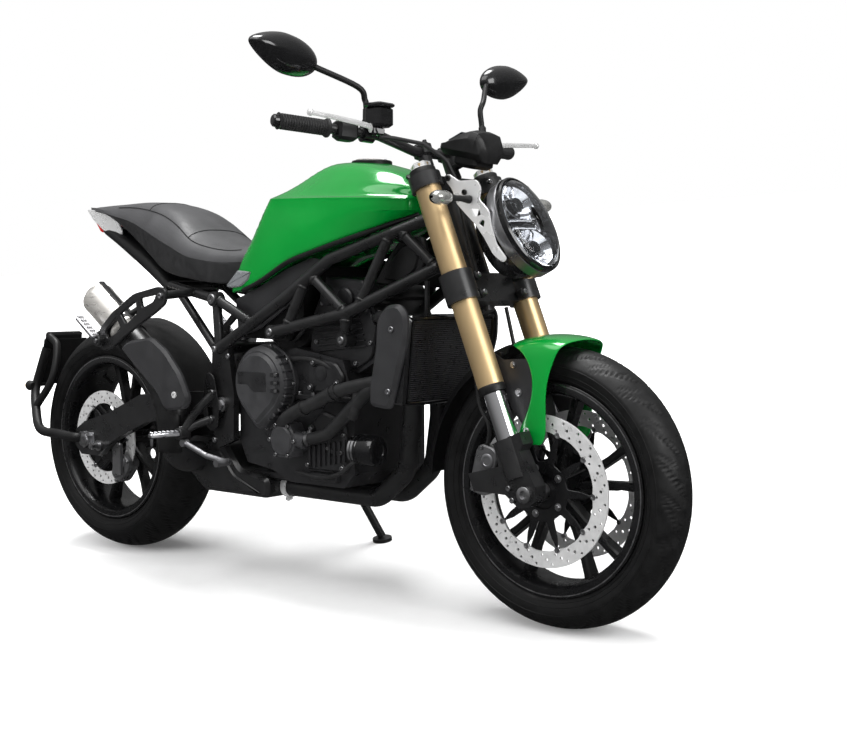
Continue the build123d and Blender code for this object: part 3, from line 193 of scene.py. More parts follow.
lamp_mirror = surface("lamp_mirror", (0.8, 0.8, 0.82), 0.12, 1.0, 0.05, 30)
light_bar = surface("light_bar", (0.85, 0.86, 0.87), 0.35, 0, 0.05, 60, 0.1)
amber = surface("amber_bulb", (0.85, 0.42, 0.08), 0.3, 0, 0.1, 60)
indicator_clear = surface("indicator_clear", (0.42, 0.42, 0.4), 0.14, 0.7, 0.2, 120, 0.6, 260, coat=1.0)
red_plastic = surface("red_plastic", (0.6, 0.03, 0.02), 0.35, 0, 0.1, 60)
red_lens = surface("red_lens", (0.45, 0.02, 0.015), 0.12, 0, 0.1, 40, coat=1.0, spread_rough=0.04)
mirror_glass = surface("mirror_glass", (0.75, 0.77, 0.8), 0.04, 1.0, 0.03, 10, spread_rough=0.02)
screen_dark = surface("screen", (0.03, 0.035, 0.045), 0.08, 0, 0.2, 40, coat=1.0, spread_rough=0.03)
trim_silver = surface("trim_silver", (0.42, 0.44, 0.46), 0.3, 0.7, 0.1, 14, 0.03, 1500)
seat_side = surface("seat_side", (0.018, 0.018, 0.019), 0.55, 0, 0.2, 60, 0.35, 900)
fin_black = surface("fin_black", (0.05, 0.05, 0.053), 0.35, 0.3, 0.2, 80)

FINISH = {
    "tyre": rubber_tyre, "rim": rim_black, "disc": disc_steel, "gold": gold, "chrome": chrome,
    "black_metal": frame_black, "green_paint": green_paint, "grey_plastic": plastic_grey,
    "black_plastic": plastic_black, "seat": seat_vinyl, "frame": frame_black, "engine": engine_black,
    "silver": silver, "steel": steel, "rubber": hose_rubber, "lens": lamp_clear, "lamp": lamp_clear,
}
SLOTS = {row["node"]: row["material_slot"] for row in frame["record"]["subparts"]}
for name, thing in nodes.items():
    thing.data.materials.clear()
    thing.data.materials.append(FINISH[SLOTS[name]])

# Mesh tools: points are upright mm, and each piece is laid into the shared frame at the end

class Shape:
    """Points and faces gathered for one piece."""

    def __init__(self):
        self.points = []
        self.faces = []

    def add(self, points, faces):
        base = len(self.points)
        self.points.extend(Vector(p) for p in points)
        self.faces.extend(tuple(base + i for i in face) for face in faces)


def grid_faces(rows, columns, round_rows=False, round_columns=False):
    """Faces of a grid of points, closed on itself where asked."""
    faces = []
    for row in range(rows if round_rows else rows - 1):
        for column in range(columns if round_columns else columns - 1):
            here = row * columns
            below = (row + 1) % rows * columns
            beside = (column + 1) % columns
            faces.append((here + column, here + beside, below + beside, below + column))
    return faces


def capped_grid(rows, columns):
    """Faces of a grid that is closed round its columns and has a cap on each end."""
    first = tuple(reversed(range(columns)))
    last = tuple(range((rows - 1) * columns, rows * columns))
    return grid_faces(rows, columns, round_columns=True) + [first, last]


def turns(count, start=0.0):
    """Angles evenly round a circle."""
    return [start + 2 * pi * i / count for i in range(count)]


def wheel_way(turn):
    """A direction seen from the side, at an angle up from forward."""
    return Vector((cos(turn), 0, sin(turn)))


def side_plane(side):
    """The plane of a panel on the left (1) or the right (-1): origin, forward, up and outward."""
    return Vector((0, 0, 0)), FORWARD, UP, LEFT * side


def cut_corners(a, b, cut):
    """The eight corners of a rectangle of half sizes a and b with its corners cut."""
    return (
        (a, b - cut), (a - cut, b), (cut - a, b), (-a, b - cut),
        (-a, cut - b), (cut - a, -b), (a - cut, -b), (a, cut - b),
    )


def blend(before, here, there, after, t):
    """A smooth step from one point or number to the next, with those on either side."""
    second = 2 * before - 5 * here + 4 * there - after
    third = 3 * here - before - 3 * there + after
    return 0.5 * (2 * here + (there - before) * t + second * t * t + third * t * t * t)


def frame_of(axis):
    """Two directions at right angles to an axis."""
    axis = Vector(axis).normalized()
    other = UP if abs(axis.z) < 0.9 else FORWARD
    first = axis.cross(other).normalized()
    return first, axis.cross(first)


def lathe(shape, centre, axis, profile, segments=48):
    """A turned form: profile is (along the axis, radius) from one end to the other, closed with caps."""
    centre, axis = Vector(centre), Vector(axis).normalized()
    first, second = frame_of(axis)
    points = []
    for along, radius in profile:
        for turn in turns(segments):
            points.append(centre + axis * along + (first * cos(turn) + second * sin(turn)) * radius)
    shape.add(points, capped_grid(len(profile), segments))


def turned_ring(shape, centre, axis, section, segments=96):
    """A closed ring: section is a closed loop of (along the axis, radius)."""
    centre, axis = Vector(centre), Vector(axis).normalized()
    first, second = frame_of(axis)
    points = []
    for turn in turns(segments):
        out = first * cos(turn) + second * sin(turn)
        points.extend(centre + axis * along + out * radius for along, radius in section)
    shape.add(points, grid_faces(segments, len(section), True, True))


def smooth_path(points, steps=6):
    """A smooth line through points."""
    points = [Vector(p) for p in points]
    line = []
    for i in range(len(points) - 1):
        before = points[i - 1] if i else points[0] * 2 - points[1]
        after = points[i + 2] if i + 2 < len(points) else points[-1] * 2 - points[-2]
        for step in range(steps):
            line.append(blend(before, points[i], points[i + 1], after, step / steps))
    line.append(points[-1])
    return line


def tube(shape, line, radius, segments=12, flat=1.0):
    """A round bar along a line; radius may be a list, and flat squeezes it sideways."""
    line = [Vector(p) for p in line]
    radii = radius if isinstance(radius, (list, tuple)) else [radius] * len(line)
    points = []
    first = None
    for i, place in enumerate(line):
        ahead = line[min(i + 1, len(line) - 1)] - line[max(i - 1, 0)]
        ahead.normalize()
        if first is None:
            first = frame_of(ahead)[0]
        first = (first - ahead * first.dot(ahead)).normalized()
        second = ahead.cross(first)
        for turn in turns(segments):
            points.append(place + (first * cos(turn) * flat + second * sin(turn)) * radii[i])
    shape.add(points, capped_grid(len(line), segments))


def block(shape, centre, size, chamfer=2.0, along=(1, 0, 0), upward=(0, 0, 1)):
    """A box with chamfered edges, its first side along one direction."""
    centre = Vector(centre)
    x = Vector(along).normalized()
    y = Vector(upward).cross(x).normalized()
    z = x.cross(y)
    half = [s / 2 for s in size]
    rings = [(-half[2], chamfer), (-half[2] + chamfer, 0), (half[2] - chamfer, 0), (half[2], chamfer)]
    points = []
    for height, inset in rings:
        for u, v in cut_corners(half[0] - inset, half[1] - inset, max(chamfer, inset) * 0.8):
            points.append(centre + x * u + y * v + z * height)
    shape.add(points, capped_grid(len(rings), 8))


def rounded(outline, corner, steps=4):
    """A closed outline with its corners rounded."""
    result = []
    count = len(outline)
    for i in range(count):
        here = Vector((*outline[i], 0))
        before = Vector((*outline[i - 1], 0)) - here
        after = Vector((*outline[(i + 1) % count], 0)) - here
        reach = min(corner, before.length * 0.45, after.length * 0.45)
        a, b = here + before.normalized() * reach, here + after.normalized() * reach
        for step in range(steps + 1):
            t = step / steps
            p = a * (1 - t) ** 2 + here * 2 * t * (1 - t) + b * t * t
            result.append((p.x, p.y))
    return result


def panel(shape, outline, inner, outer, edge=2.0, plane=None):
    """A plate with softened outer edges, its outline seen from the right as (forward, up).

    It lies between two distances to the right of the middle plane, or along another plane's third axis."""
    origin, x, y, z = plane or side_plane(-1)
    area = sum(a[0] * b[1] - b[0] * a[1] for a, b in zip(outline, outline[1:] + outline[:1]))
    outline = outline if area > 0 else list(reversed(outline))
    count = len(outline)
    inset = []
    for i in range(count):
        a, b, c = Vector(outline[i - 1]), Vector(outline[i]), Vector(outline[(i + 1) % count])
        way = (c - a).normalized() if (c - a).length > 1e-6 else Vector((1, 0))
        inset.append((b.x - way.y * edge, b.y + way.x * edge))
    sign = 1 if outer > inner else -1
    rings = [(outline, inner), (outline, outer - sign * edge), (inset, outer)]
    points = [origin + x * u + y * v + z * depth for ring, depth in rings for u, v in ring]
    shape.add(points, capped_grid(len(rings), count))


def bolt(shape, place, way, radius=6.0, height=5.0):
    """A flanged hexagon bolt head that faces a direction."""
    place, way = Vector(place), Vector(way).normalized()
    lathe(shape, place, way, [(-1, radius * 1.35), (1.2, radius * 1.35), (1.6, radius * 1.1)], 20)
    lathe(shape, place, way, [(1, radius), (height - 0.8, radius), (height, radius * 0.86)], 6)


def socket_bolt(shape, place, way, radius=6.0, height=6.0):
    """A round cap screw with a round hole in its head, facing a direction."""
    place, way = Vector(place), Vector(way).normalized()
    hole = radius * 0.5
    profile = [
        (-2, radius), (height - 0.8, radius), (height, radius * 0.88), (height, hole), (height - 3, hole)
    ]
    lathe(shape, place, way, profile, 18)


def new_object(name, data):
    """An object put into the scene."""
    made = bpy.data.objects.new(name, data)
    bpy.context.collection.objects.link(made)
    return made


def make(shape, name, body, material, replaces=(), soft=35, bevel=0.0, subdivide=0, thick=0.0):
    """Turns a shape into a piece that rides on a body, with a finish."""
    mesh = bpy.data.meshes.new(name)
    mesh.from_pydata([tuple(p) for p in shape.points], [], shape.faces)
    mesh.transform(BIKE)
    work = bmesh.new()
    work.from_mesh(mesh)
    bmesh.ops.remove_doubles(work, verts=work.verts, dist=1e-6)
    bmesh.ops.recalc_face_normals(work, faces=work.faces)
    work.to_mesh(mesh)
    work.free()
    for polygon in mesh.polygons:
        polygon.use_smooth = True
    mesh.set_sharp_from_angle(angle=radians(soft))
    thing = new_object(name, mesh)
    mesh.materials.append(material)
    if thick:
        shell = thing.modifiers.new("shell", "SOLIDIFY")
        shell.thickness = thick / 1000
        shell.offset = 0
    if bevel:
        edge = thing.modifiers.new("edges", "BEVEL")
        edge.width = bevel / 1000
        edge.segments = 2
        edge.limit_method = "ANGLE"
        edge.angle_limit = radians(30)
        edge.harden_normals = True
    if subdivide:
        finer = thing.modifiers.new("finer", "SUBSURF")
        finer.levels = finer.render_levels = subdivide
    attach(thing, body)
    if replaces:
        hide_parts(*replaces)
    return thing


def flat_cut(name, body, material, centre, y, loops, thick, bevel=0.6, replaces=(), mirrored=False):
    """A flat plate across Y cut from loops of (forward, up) points: the edge first, then the holes."""
    data = bpy.data.curves.new(name, "CURVE")
    data.dimensions = "2D"
    data.fill_mode = "BOTH"
    for loop in loops:
        line = data.splines.new("POLY")
        line.points.add(len(loop) - 1)
        for point, (u, v) in zip(line.points, loop):
            point.co = (u, v, 0, 1)
        line.use_cyclic_u = True
    data.extrude = thick / 2 - bevel
    data.bevel_depth = bevel
    data.bevel_resolution = 0
    rough = new_object(name, data)
    bpy.context.view_layer.update()
    flat = bpy.data.meshes.new_from_object(rough.evaluated_get(bpy.context.evaluated_depsgraph_get()))
    bpy.data.objects.remove(rough)
    shape = Shape()
    faces = [tuple(p.vertices) for p in flat.polygons]
    for side in ((1, -1) if mirrored else (1,)):
        points = [
            Vector((centre[0] + p.co.x, centre[1] + side * (y + p.co.z), centre[2] + p.co.y))
            for p in flat.vertices
        ]
        shape.add(points, faces)
    bpy.data.meshes.remove(flat)
    return make(shape, name, body, material, replaces, soft=30)


def circle(radius, steps=64, centre=(0, 0)):
    """Points round a circle, as (forward, up)."""
    return [(centre[0] + radius * cos(t), centre[1] + radius * sin(t)) for t in turns(steps)]


# Tyres with curved grooves

RIM_RADIUS = 228.0
GROOVES = (     # first and last share of the width, start and sweep in repeats, width in mm
    (0.07, 0.93, 0.0, 1.25, 3.4), (0.42, 0.9, 0.62, 0.75, 2.4), (0.2, 0.5, 0.35, 0.5, 2.0),
)
GROOVE_DEPTH = 3.2
TREAD_EDGE = radians(62)
TREAD_STEPS, TYRE_STEPS = 26, 860
BEAD_DROP = 13.5


def groove(turn, share, radius, repeats):
    """Depth of the tread at an angle round the tyre and a share of the way to its edge, -1 to 1."""
    u = abs(share)
    depth = 0.0
    for first, last, start, sweep, width in GROOVES:
        if first < u < last:
            phase = turn * repeats / (2 * pi) + (0.5 if share > 0 else 0.0)
            middle = start + sweep * u ** 1.5
            apart = (phase - middle + 0.5) % 1.0 - 0.5
            across = abs(apart) * 2 * pi * radius / repeats
            taper = min(1.0, 6 * (u - first), 6 * (last - u))
            depth = max(depth, min(1.0, max(0.0, (width * taper + 1.2 - across) / 1.6)))
    return depth * GROOVE_DEPTH


def tyre(name, body, centre, width, radius, rim_width, repeats):
    """A tyre: rounded crown with grooves, bulged side walls and beads."""
    half = width / 2
    crown = half * 1.08
    edge = TREAD_EDGE
    bead = rim_width / 2 - 6.3
    shoulder = radius - crown + crown * cos(edge)
    walls = []
    for t in (0.0, 0.12, 0.3, 0.55, 0.8):
        height = RIM_RADIUS + 0.5 + (shoulder - RIM_RADIUS - 0.5) * t
        walls.append((bead + (half - bead) * sin(t * pi / 2) ** 0.7, height))
    ring = [(-bead, RIM_RADIUS - BEAD_DROP)] + [(-y, r) for y, r in walls]
    first_crown = len(ring)
    for step in range(TREAD_STEPS + 1):
        lean = -edge + 2 * edge * step / TREAD_STEPS
        ring.append((half * sin(lean) / sin(edge), radius - crown + crown * cos(lean)))
    last_crown = len(ring)
    ring += list(reversed(walls)) + [(bead, RIM_RADIUS - BEAD_DROP)]
    points = []
    for turn in turns(TYRE_STEPS):
        for i, (y, r) in enumerate(ring):
            if first_crown <= i < last_crown:
                r = r - groove(turn, y / half, radius, repeats)
            points.append(centre + wheel_way(turn) * r + LEFT * y)
    shape = Shape()
    shape.add(points, grid_faces(TYRE_STEPS, len(ring), True, True))
    lip = [(0, -1.2), (1.2, 0), (0, 1.2)]
    for side in (-1, 1):
        for height in (0.22, 0.5, 0.93):
            r = RIM_RADIUS + (shoulder - RIM_RADIUS) * height
            y = side * (bead + (half - bead) * sin(height * pi / 2) ** 0.7 - 0.4)
            turned_ring(shape, centre, LEFT, [(y + side * a, r + b) for a, b in lip], 160)
    make(shape, name, body, rubber_tyre, [name], soft=50)


tyre("front_tyre", "front_wheel", FRONT_AXLE, width=120, radius=300, rim_width=104, repeats=22)
tyre("rear_tyre", "rear_wheel", REAR_AXLE, width=180, radius=315, rim_width=156, repeats=20)

# Cast rims: barrel, hub, and pairs of tapered spokes

SPOKE_PAIRS = 5
SPOKE_SPREAD, SPOKE_ROOT = radians(13), radians(5)     # half the angle of a pair at the rim and the hub
SPOKE_END = 203


def beam(shape, sections):
    """A bar through sections of (centre, first direction, second direction, half sizes), corners cut."""
    points = []
    for centre, u, v, a, b in sections:
        for p, q in cut_corners(a, b, min(a, b) * 0.45):
            points.append(centre + u * p + v * q)
    shape.add(points, capped_grid(len(sections), 8))


def cast_rim(name, body, centre, width, hub_radius, hub_right, hub_left):
    """A rim with its hub and spokes."""
    h = width / 2
    shape = Shape()
    outside = [(0, 226), (1.5, 228), (4.5, 228), (5.8, 226), (6, 214)]
    inside = [(0, 209), (6, 204), (22, 199)]
    barrel = [(inward - h, r) for inward, r in outside]
    barrel += [(h - inward, r) for inward, r in reversed(outside)]
    barrel += [(h - inward, r) for inward, r in inside]
    barrel += [(inward - h, r) for inward, r in reversed(inside)]
    turned_ring(shape, centre, LEFT, barrel, 128)
    hub_end = [(0, -8), (0, -2), (4, 0), (16, -2)]
    hub = [(-hub_right + inward, hub_radius + out) for inward, out in hub_end]
    hub += [(-20, hub_radius - 10), (20, hub_radius - 10)]
    hub += [(hub_left - inward, hub_radius + out) for inward, out in reversed(hub_end)]
    lathe(shape, centre, LEFT, hub, 48)
    for pair in range(SPOKE_PAIRS):
        for side in (-1, 1):
            middle = radians(pair * 360 / SPOKE_PAIRS + 90)
            sections = []
            for share in (0.0, 0.12, 0.35, 0.65, 0.9, 1.0):
                radius = hub_radius - 12 + (SPOKE_END - hub_radius + 12) * share
                bend = middle + side * (SPOKE_SPREAD * share ** 0.8 + SPOKE_ROOT * (1 - share))
                out = wheel_way(bend)
                grow = abs(share - 0.55) ** 1.6
                half_sizes = (7.5 + 9 * grow, 15 + 14 * grow)
                sections.append((centre + out * radius, out.cross(LEFT), LEFT, *half_sizes))
            beam(shape, sections)
    make(shape, name, body, rim_black, [name], soft=40)


cast_rim("front_rim", "front_wheel", FRONT_AXLE, width=104, hub_radius=46, hub_right=67.5, hub_left=67.5)
cast_rim("rear_rim", "rear_wheel", REAR_AXLE, width=156, hub_radius=48, hub_right=85.5, hub_left=103)

# A pale steel line round each rim edge, a painted highlight along the black rim's lip, and valves

VALVE_TURN = radians(126)
for end, centre, edge in (("front", FRONT_AXLE, 52), ("rear", REAR_AXLE, 78)):
    painted_highlights, valve = Shape(), Shape()
    for side in (-1, 1):
        near, far = side * (edge - 0.1), side * (edge + 0.3)
        turned_ring(painted_highlights, centre, LEFT, [(near, 224), (far, 224), (far, 221.5), (near, 221.5)], 128)
    make(painted_highlights, end + "_rim_painted_highlight", end + "_wheel", steel)
    out = wheel_way(VALVE_TURN)
    inward = -(out + RIGHT * 0.55).normalized()
    stem = [(-4, 6), (2, 6), (4, 4), (20, 3.6), (21, 5), (30, 5), (31, 3)]
    lathe(valve, centre + out * 200, inward, stem, 14)
    make(valve, end + "_valve", end + "_wheel", plastic_black)

# Drilled discs on dark carriers

DISC_HOLES = ((0.2, 0.0, 3.4), (0.5, 0.33, 3.9), (0.8, 0.66, 3.4))   # share of band and of group, radius


def drilled(name, body, centre, y, radius, band, groups, carrier_bore, arms, node, mirrored):
    """A drilled steel band, its carrier with arms, and the buttons between them."""
    holes = []
    for group in range(groups):
        for share, step, hole in DISC_HOLES:
            turn = 2 * pi * (group + step) / groups
            reach = radius - band + band * share
            holes.append(circle(hole, 12, (reach * cos(turn), reach * sin(turn))))
    inner = []
    for turn in turns(arms * 12):
        reach = radius - band - 2.5 * max(0, cos(turn * arms))
        inner.append((reach * cos(turn), reach * sin(turn)))
    loops = [circle(radius, 120), inner] + holes
    flat_cut(name + "_band", body, disc_steel, centre, y, loops, 5.0, 0.5, [node], mirrored)
    star = []
    for turn in turns(arms * 10):
        swell = max(0.0, cos(turn * arms)) ** 2.5
        reach = carrier_bore + 24 + (radius - band - 4 - carrier_bore - 24) * swell
        star.append((reach * cos(turn), reach * sin(turn)))
    loops = [star, circle(carrier_bore, 48)]
    flat_cut(name + "_carrier", body, rim_black, centre, y, loops, 4.6, 0.8, (), mirrored)
    shape = Shape()
    for side in ((-1, 1) if mirrored else (-1 if y < 0 else 1,)):
        outward = LEFT * side
        for turn in turns(arms):
            place = centre + wheel_way(turn) * (radius - band - 1) + outward * abs(y)
            lathe(shape, place, outward, [(-4, 5), (3.2, 6.6), (4.0, 6.2), (4.0, 3.4), (3.0, 3.0)], 18)
        for turn in turns(5, pi / 5):
            place = centre + wheel_way(turn) * (carrier_bore + 12) + outward * (abs(y) + 2.3)
            bolt(shape, place, outward, 6, 6)
    make(shape, name + "_buttons", body, steel)


drilled(
    "front_disc", "front_wheel", FRONT_AXLE, y=70, radius=160, band=34, groups=24, carrier_bore=38, arms=10,
    node="front_discs", mirrored=True
)
drilled(
    "rear_disc", "rear_wheel", REAR_AXLE, y=-88, radius=130, band=34, groups=20, carrier_bore=38, arms=6,
    node="rear_disc", mirrored=False
)

# Rear sprocket and chain, link by link

CHAIN_PITCH = 15.875
FRONT_TEETH, REAR_TEETH = 16, 46
CHAIN_Y = 107.0
LINK_RADIUS, LINK_WAIST = 6.6, 4.4
LINK_SPACING = (3.9, 6.2)            # plates of an inner and an outer link, out from the middle
LINK_HALF_THICK = 0.9
TOOTH_DROPS = (6.2, 6.2, 11.0, 11.0)     # tip and gullet, below the pitch line
FRONT_SPROCKET = Vector((-88, 0, 452))
front_pitch = CHAIN_PITCH / (2 * sin(pi / FRONT_TEETH))
rear_pitch = CHAIN_PITCH / (2 * sin(pi / REAR_TEETH))
chain_run = FRONT_SPROCKET - REAR_AXLE
chain_span = hypot(chain_run.x, chain_run.z)
chain_drop = (rear_pitch - front_pitch) / chain_span
chain_swing = pi / 2 - chain_drop * (1 + chain_drop * chain_drop / 6)
upper_turn = atan2(chain_run.z, chain_run.x) + chain_swing
lower_turn = atan2(chain_run.z, chain_run.x) - chain_swing
straight = chain_span * sin(chain_swing)
front_arc = front_pitch * 2 * chain_swing
rear_arc = rear_pitch * 2 * (pi - chain_swing)
whole_chain = 2 * straight + front_arc + rear_arc


def chain_place(distance):
    """A point on the chain's pitch line, this far along in mm: top run, front, lower run, rear."""
    s = distance % whole_chain
    if s < straight:
        share = s / straight
        radius = rear_pitch + (front_pitch - rear_pitch) * share
        return REAR_AXLE + chain_run * share + wheel_way(upper_turn) * radius
    s -= straight
    if s < front_arc:
        return FRONT_SPROCKET + wheel_way(upper_turn - s / front_pitch) * front_pitch
    s -= front_arc
    if s < straight:
        share = s / straight
        radius = front_pitch + (rear_pitch - front_pitch) * share
        return FRONT_SPROCKET - chain_run * share + wheel_way(lower_turn) * radius
    s -= straight
    return REAR_AXLE + wheel_way(lower_turn - s / rear_pitch) * rear_pitch


teeth = []
for step, turn in enumerate(turns(REAR_TEETH * 4)):
    reach = rear_pitch - TOOTH_DROPS[step % 4]
    teeth.append((reach * cos(turn), reach * sin(turn)))
windows = [circle(15, 24, middle) for middle in circle(78, 6)]
flat_cut(
    "rear_sprocket_teeth", "rear_wheel", steel, REAR_AXLE, CHAIN_Y,
    [teeth, circle(42, 48)] + windows, 6.4, 0.6, ["rear_sprocket"]
)

links = Shape()
link_count = 2 * round(whole_chain / CHAIN_PITCH / 2)
step_length = whole_chain / link_count
for link in range(link_count):
    start = chain_place(link * step_length)
    end = chain_place((link + 1) * step_length)
    way = (end - start).normalized()
    over = way.cross(LEFT)
    spacing = LINK_SPACING[link % 2]
    for side in (-1, 1):
        y = CHAIN_Y + side * spacing
        outline = []
        for middle, first in ((start, 90), (end, -90)):
            for turn in range(0, 181, 45):
                angle = radians(first + turn)
                outline.append(middle + (way * cos(angle) + over * sin(angle)) * LINK_RADIUS)
            if middle is start:
                outline.append((start + end) / 2 - over * LINK_WAIST)
        outline.append((start + end) / 2 + over * LINK_WAIST)
        faces = [y - side * LINK_HALF_THICK, y + side * LINK_HALF_THICK]
        links.add([p + LEFT * face for face in faces for p in outline], capped_grid(2, len(outline)))
    pin = [(-8, 2.6), (-7.4, 3.0), (-3.2, 3.0), (-3.2, 4.8), (3.2, 4.8), (3.2, 3.0), (7.4, 3.0), (8, 2.6)]
    lathe(links, start + LEFT * CHAIN_Y, LEFT, pin, 10)
make(links, "chain_links", "chassis", steel, ["chain"], soft=30)

# Front mudguard: one painted skin from leg to leg over the tyre, through rows from a leg's foot to the
# middle of y, height or else distance from the axle, rear edge and front edge

FENDER_ROWS = [
    (86.0, 398, None, 690, 734), (87.0, 404, None, 682, 744), (87.5, 425, None, 681, 750),
    (88.0, 450, None, 698, 751), (88.5, 490, None, 715, 749), (89.0, 530, None, 719, 753),
    (89.0, 562, None, 711, 765), (87.5, None, 294, 690, 776), (80.0, None, 307, 662, 784),
    (64.0, None, 315, 650, 789), (36.0, None, 320, 644, 794), (0.0, None, 322, 642, 796),
]


def fender_skin(columns=9):
    """The painted skin as a grid of rows from the right leg's foot over the tyre to the left one."""
    rows = [(-row[0], *row[1:]) for row in FENDER_ROWS] + FENDER_ROWS[-2::-1]
    points = []
    for y, z, reach, rear, front in rows:
        for column in range(columns):
            x = rear + (front - rear) * column / (columns - 1)
            height = z if reach is None else FRONT_AXLE.z + sqrt(reach ** 2 - (x - FRONT_AXLE.x) ** 2)
            lift = 1 - abs(2 * column / (columns - 1) - 1) ** 3
            points.append((x, y * (1 + 0.02 * lift), height + (2.5 * lift if reach else 0)))
    return points, grid_faces(len(rows), columns)


fender = Shape()
fender.add(*fender_skin())
make(
    fender, "front_fender", "steering", green_paint, ["front_fender"], thick=4.0,
    subdivide=2, soft=80
)

fender_bolts = Shape()
for side in (-1, 1):
    socket_bolt(fender_bolts, (704, side * 89, 426), (0, side, 0), 7, 4)
    bolt(fender_bolts, FRONT_AXLE + Vector((-52, side * 83, 205)), (0, side, 0), 6, 4)
    bolt(fender_bolts, FRONT_AXLE + Vector((-66, side * 83, 262)), (0, side, 0), 5, 4)
make(fender_bolts, "fender_bolts", "steering", steel)

# Fork: seals, top caps, clamp screws, axle ends

SEAL_UP, COLLAR_UP, CAP_UP = 222, 721, 735      # along the fork legs, from the axle
LOW_CLAMP_SCREWS, TOP_CLAMP_SCREW = (440, 480), 706
FOOT_SCREWS = (-2, 24)
SEAL = [(0, 25), (2, 28.6), (9, 29.4), (16, 29.4), (18, 28.4)]
CAP = [(0, 29), (2, 29), (3, 27), (5, 23), (14.5, 22.6), (16, 20), (16, 10), (18, 9), (18.5, 3)]

fork_black, fork_caps, fork_screws = Shape(), Shape(), Shape()
for side in (-1, 1):
    lathe(fork_black, on_fork(0, side * LEG_Y, SEAL_UP), FORK_UP, SEAL, 40)
    lathe(fork_black, on_fork(0, side * LEG_Y, COLLAR_UP), FORK_UP, [(0, 29.6), (13, 29.4), (15, 28.2)], 40)
    lathe(fork_caps, on_fork(0, side * LEG_Y, CAP_UP), FORK_UP, CAP, 6)
    for up in LOW_CLAMP_SCREWS:
        boss = on_fork(16, side * (LEG_Y - 38), up)
        lathe(fork_black, boss, FORK_FORWARD, [(0, 10), (13, 10), (14, 9)], 20)
        socket_bolt(fork_screws, boss + FORK_FORWARD * 14, FORK_FORWARD, 6, 6)
    socket_bolt(fork_screws, on_fork(32, side * (LEG_Y - 36), TOP_CLAMP_SCREW), FORK_FORWARD, 6, 6)
    for up in FOOT_SCREWS:
        socket_bolt(fork_screws, on_fork(-22, side * 132, up), (0, side, 0), 6, 5)
    axle_end = [(-2, 17), (3, 17), (4, 15.5), (4, 9), (-6, 8.5)]
    lathe(fork_screws, FRONT_AXLE + LEFT * side * 137, LEFT * side, axle_end, 36)
make(fork_black, "fork_seals", "steering", plastic_black)
make(fork_caps, "fork_adjusters", "steering", bright_metal)
make(fork_screws, "fork_screws", "steering", steel)

# Front calipers: two halves, bridge, piston caps and screws

def caliper_body(shape, caps, screws, side, centre, angle, y, radius, length, depth, width):
    """Halves of a caliper either side of a disc, seen along the disc's edge."""
    out = wheel_way(radians(angle))
    along = Vector((out.z, 0, -out.x))
    outward = LEFT * side
    half = length / 2
    outline = rounded([
        (-half, radius + 2), (-half + 16, radius + 11), (half - 16, radius + 11), (half, radius + 2),
        (half, radius - depth * 0.55), (half - 12, radius - depth + 8), (12 - half, radius - depth + 8),
        (-half, radius - depth * 0.55),
    ], 8)
    plane = (centre, along, out, outward)
    inner, outer = abs(y) - width / 2, abs(y) + width / 2
    panel(shape, outline, outer - 16, outer, 3.0, plane)
    panel(shape, outline, inner + 16, inner, 3.0, plane)
    for place in (-0.62, 0.0, 0.62):
        spot = centre + along * half * place + out * (radius + 5) + outward * abs(y)
        block(shape, spot, (length * 0.16, width - 14, 11), 2, along, out)
    for place in (-0.42, 0.42):
        spot = centre + along * half * place + out * (radius - depth * 0.42) + outward * outer
        lathe(caps, spot, outward, [(-3, 16), (1.5, 16), (2.5, 14.5), (2.5, 10), (1.2, 9)], 32)
        spot = centre + along * half * place * 2.05 + out * (radius - 2) + outward * outer
        socket_bolt(screws, spot, outward, 5, 4)


bodies, caps, screws = Shape(), Shape(), Shape()
for side in (-1, 1):
    caliper_body(
        bodies, caps, screws, side, FRONT_AXLE, angle=166, y=70, radius=160, length=108, depth=56, width=46
    )
make(bodies, "front_calipers", "steering", caliper_grey, ["front_calipers"])
make(caps, "caliper_caps", "steering", silver)
make(screws, "caliper_screws", "steering", steel)

# Headlight: bezel, dark bowl, two stacked projectors, two light bars and the outer lens

LIGHT = Vector((644, 0, 858))
LIGHT_OUT = Vector((0.8944, 0, 0.4472))
LIGHT_UP = Vector((-0.4472, 0, 0.8944))


def in_light(across, up, out):
    """A point in the headlight: to the left, up its face and out of it."""
    return LIGHT + LEFT * across + LIGHT_UP * up + LIGHT_OUT * out


def oval_points(rings, segments, up):
    """Points round ovals of (out of the face, half width, half height), at a height on the face."""
    return [in_light(a * cos(t), up + b * sin(t), out) for out, a, b in rings for t in turns(segments)]


def ovals(shape, rings, segments=64, up=0, close=True):
    """A form through ovals of (out of the face, half width, half height)."""
    count = len(rings)
    faces = capped_grid(count, segments) if close else grid_faces(count, segments, round_columns=True)
    shape.add(oval_points(rings, segments, up), faces)


def oval_ring(shape, section, segments=80, up=0):
    """A closed ring whose section is a loop of (out of the face, half width, half height)."""
    shape.add(oval_points(section, segments, up), grid_faces(len(section), segments, True, True))


glass, tree, shader, place = new_material("lamp_glass")
shader.inputs["Base Color"].default_value = (0.93, 0.95, 0.96, 1)
shader.inputs["Transmission Weight"].default_value = 1.0
shader.inputs["IOR"].default_value = 1.3
tree.links.new(spread(tree, noise(tree, place, 60), 0.02, 0.05), shader.inputs["Roughness"])
smoke = glass.copy()
smoke.name = "smoked_glass"
smoke.node_tree.nodes["Principled BSDF"].inputs["Base Color"].default_value = (0.84, 0.86, 0.88, 1)

shell = Shape()
ovals(shell, [(-98, 40, 58), (-97, 56, 76), (-72, 74, 95), (-42, 86, 108), (-30, 88, 110)])
make(
    shell, "headlight_shell", "steering", plastic_gloss, ["headlight", "headlight_lens"]
)

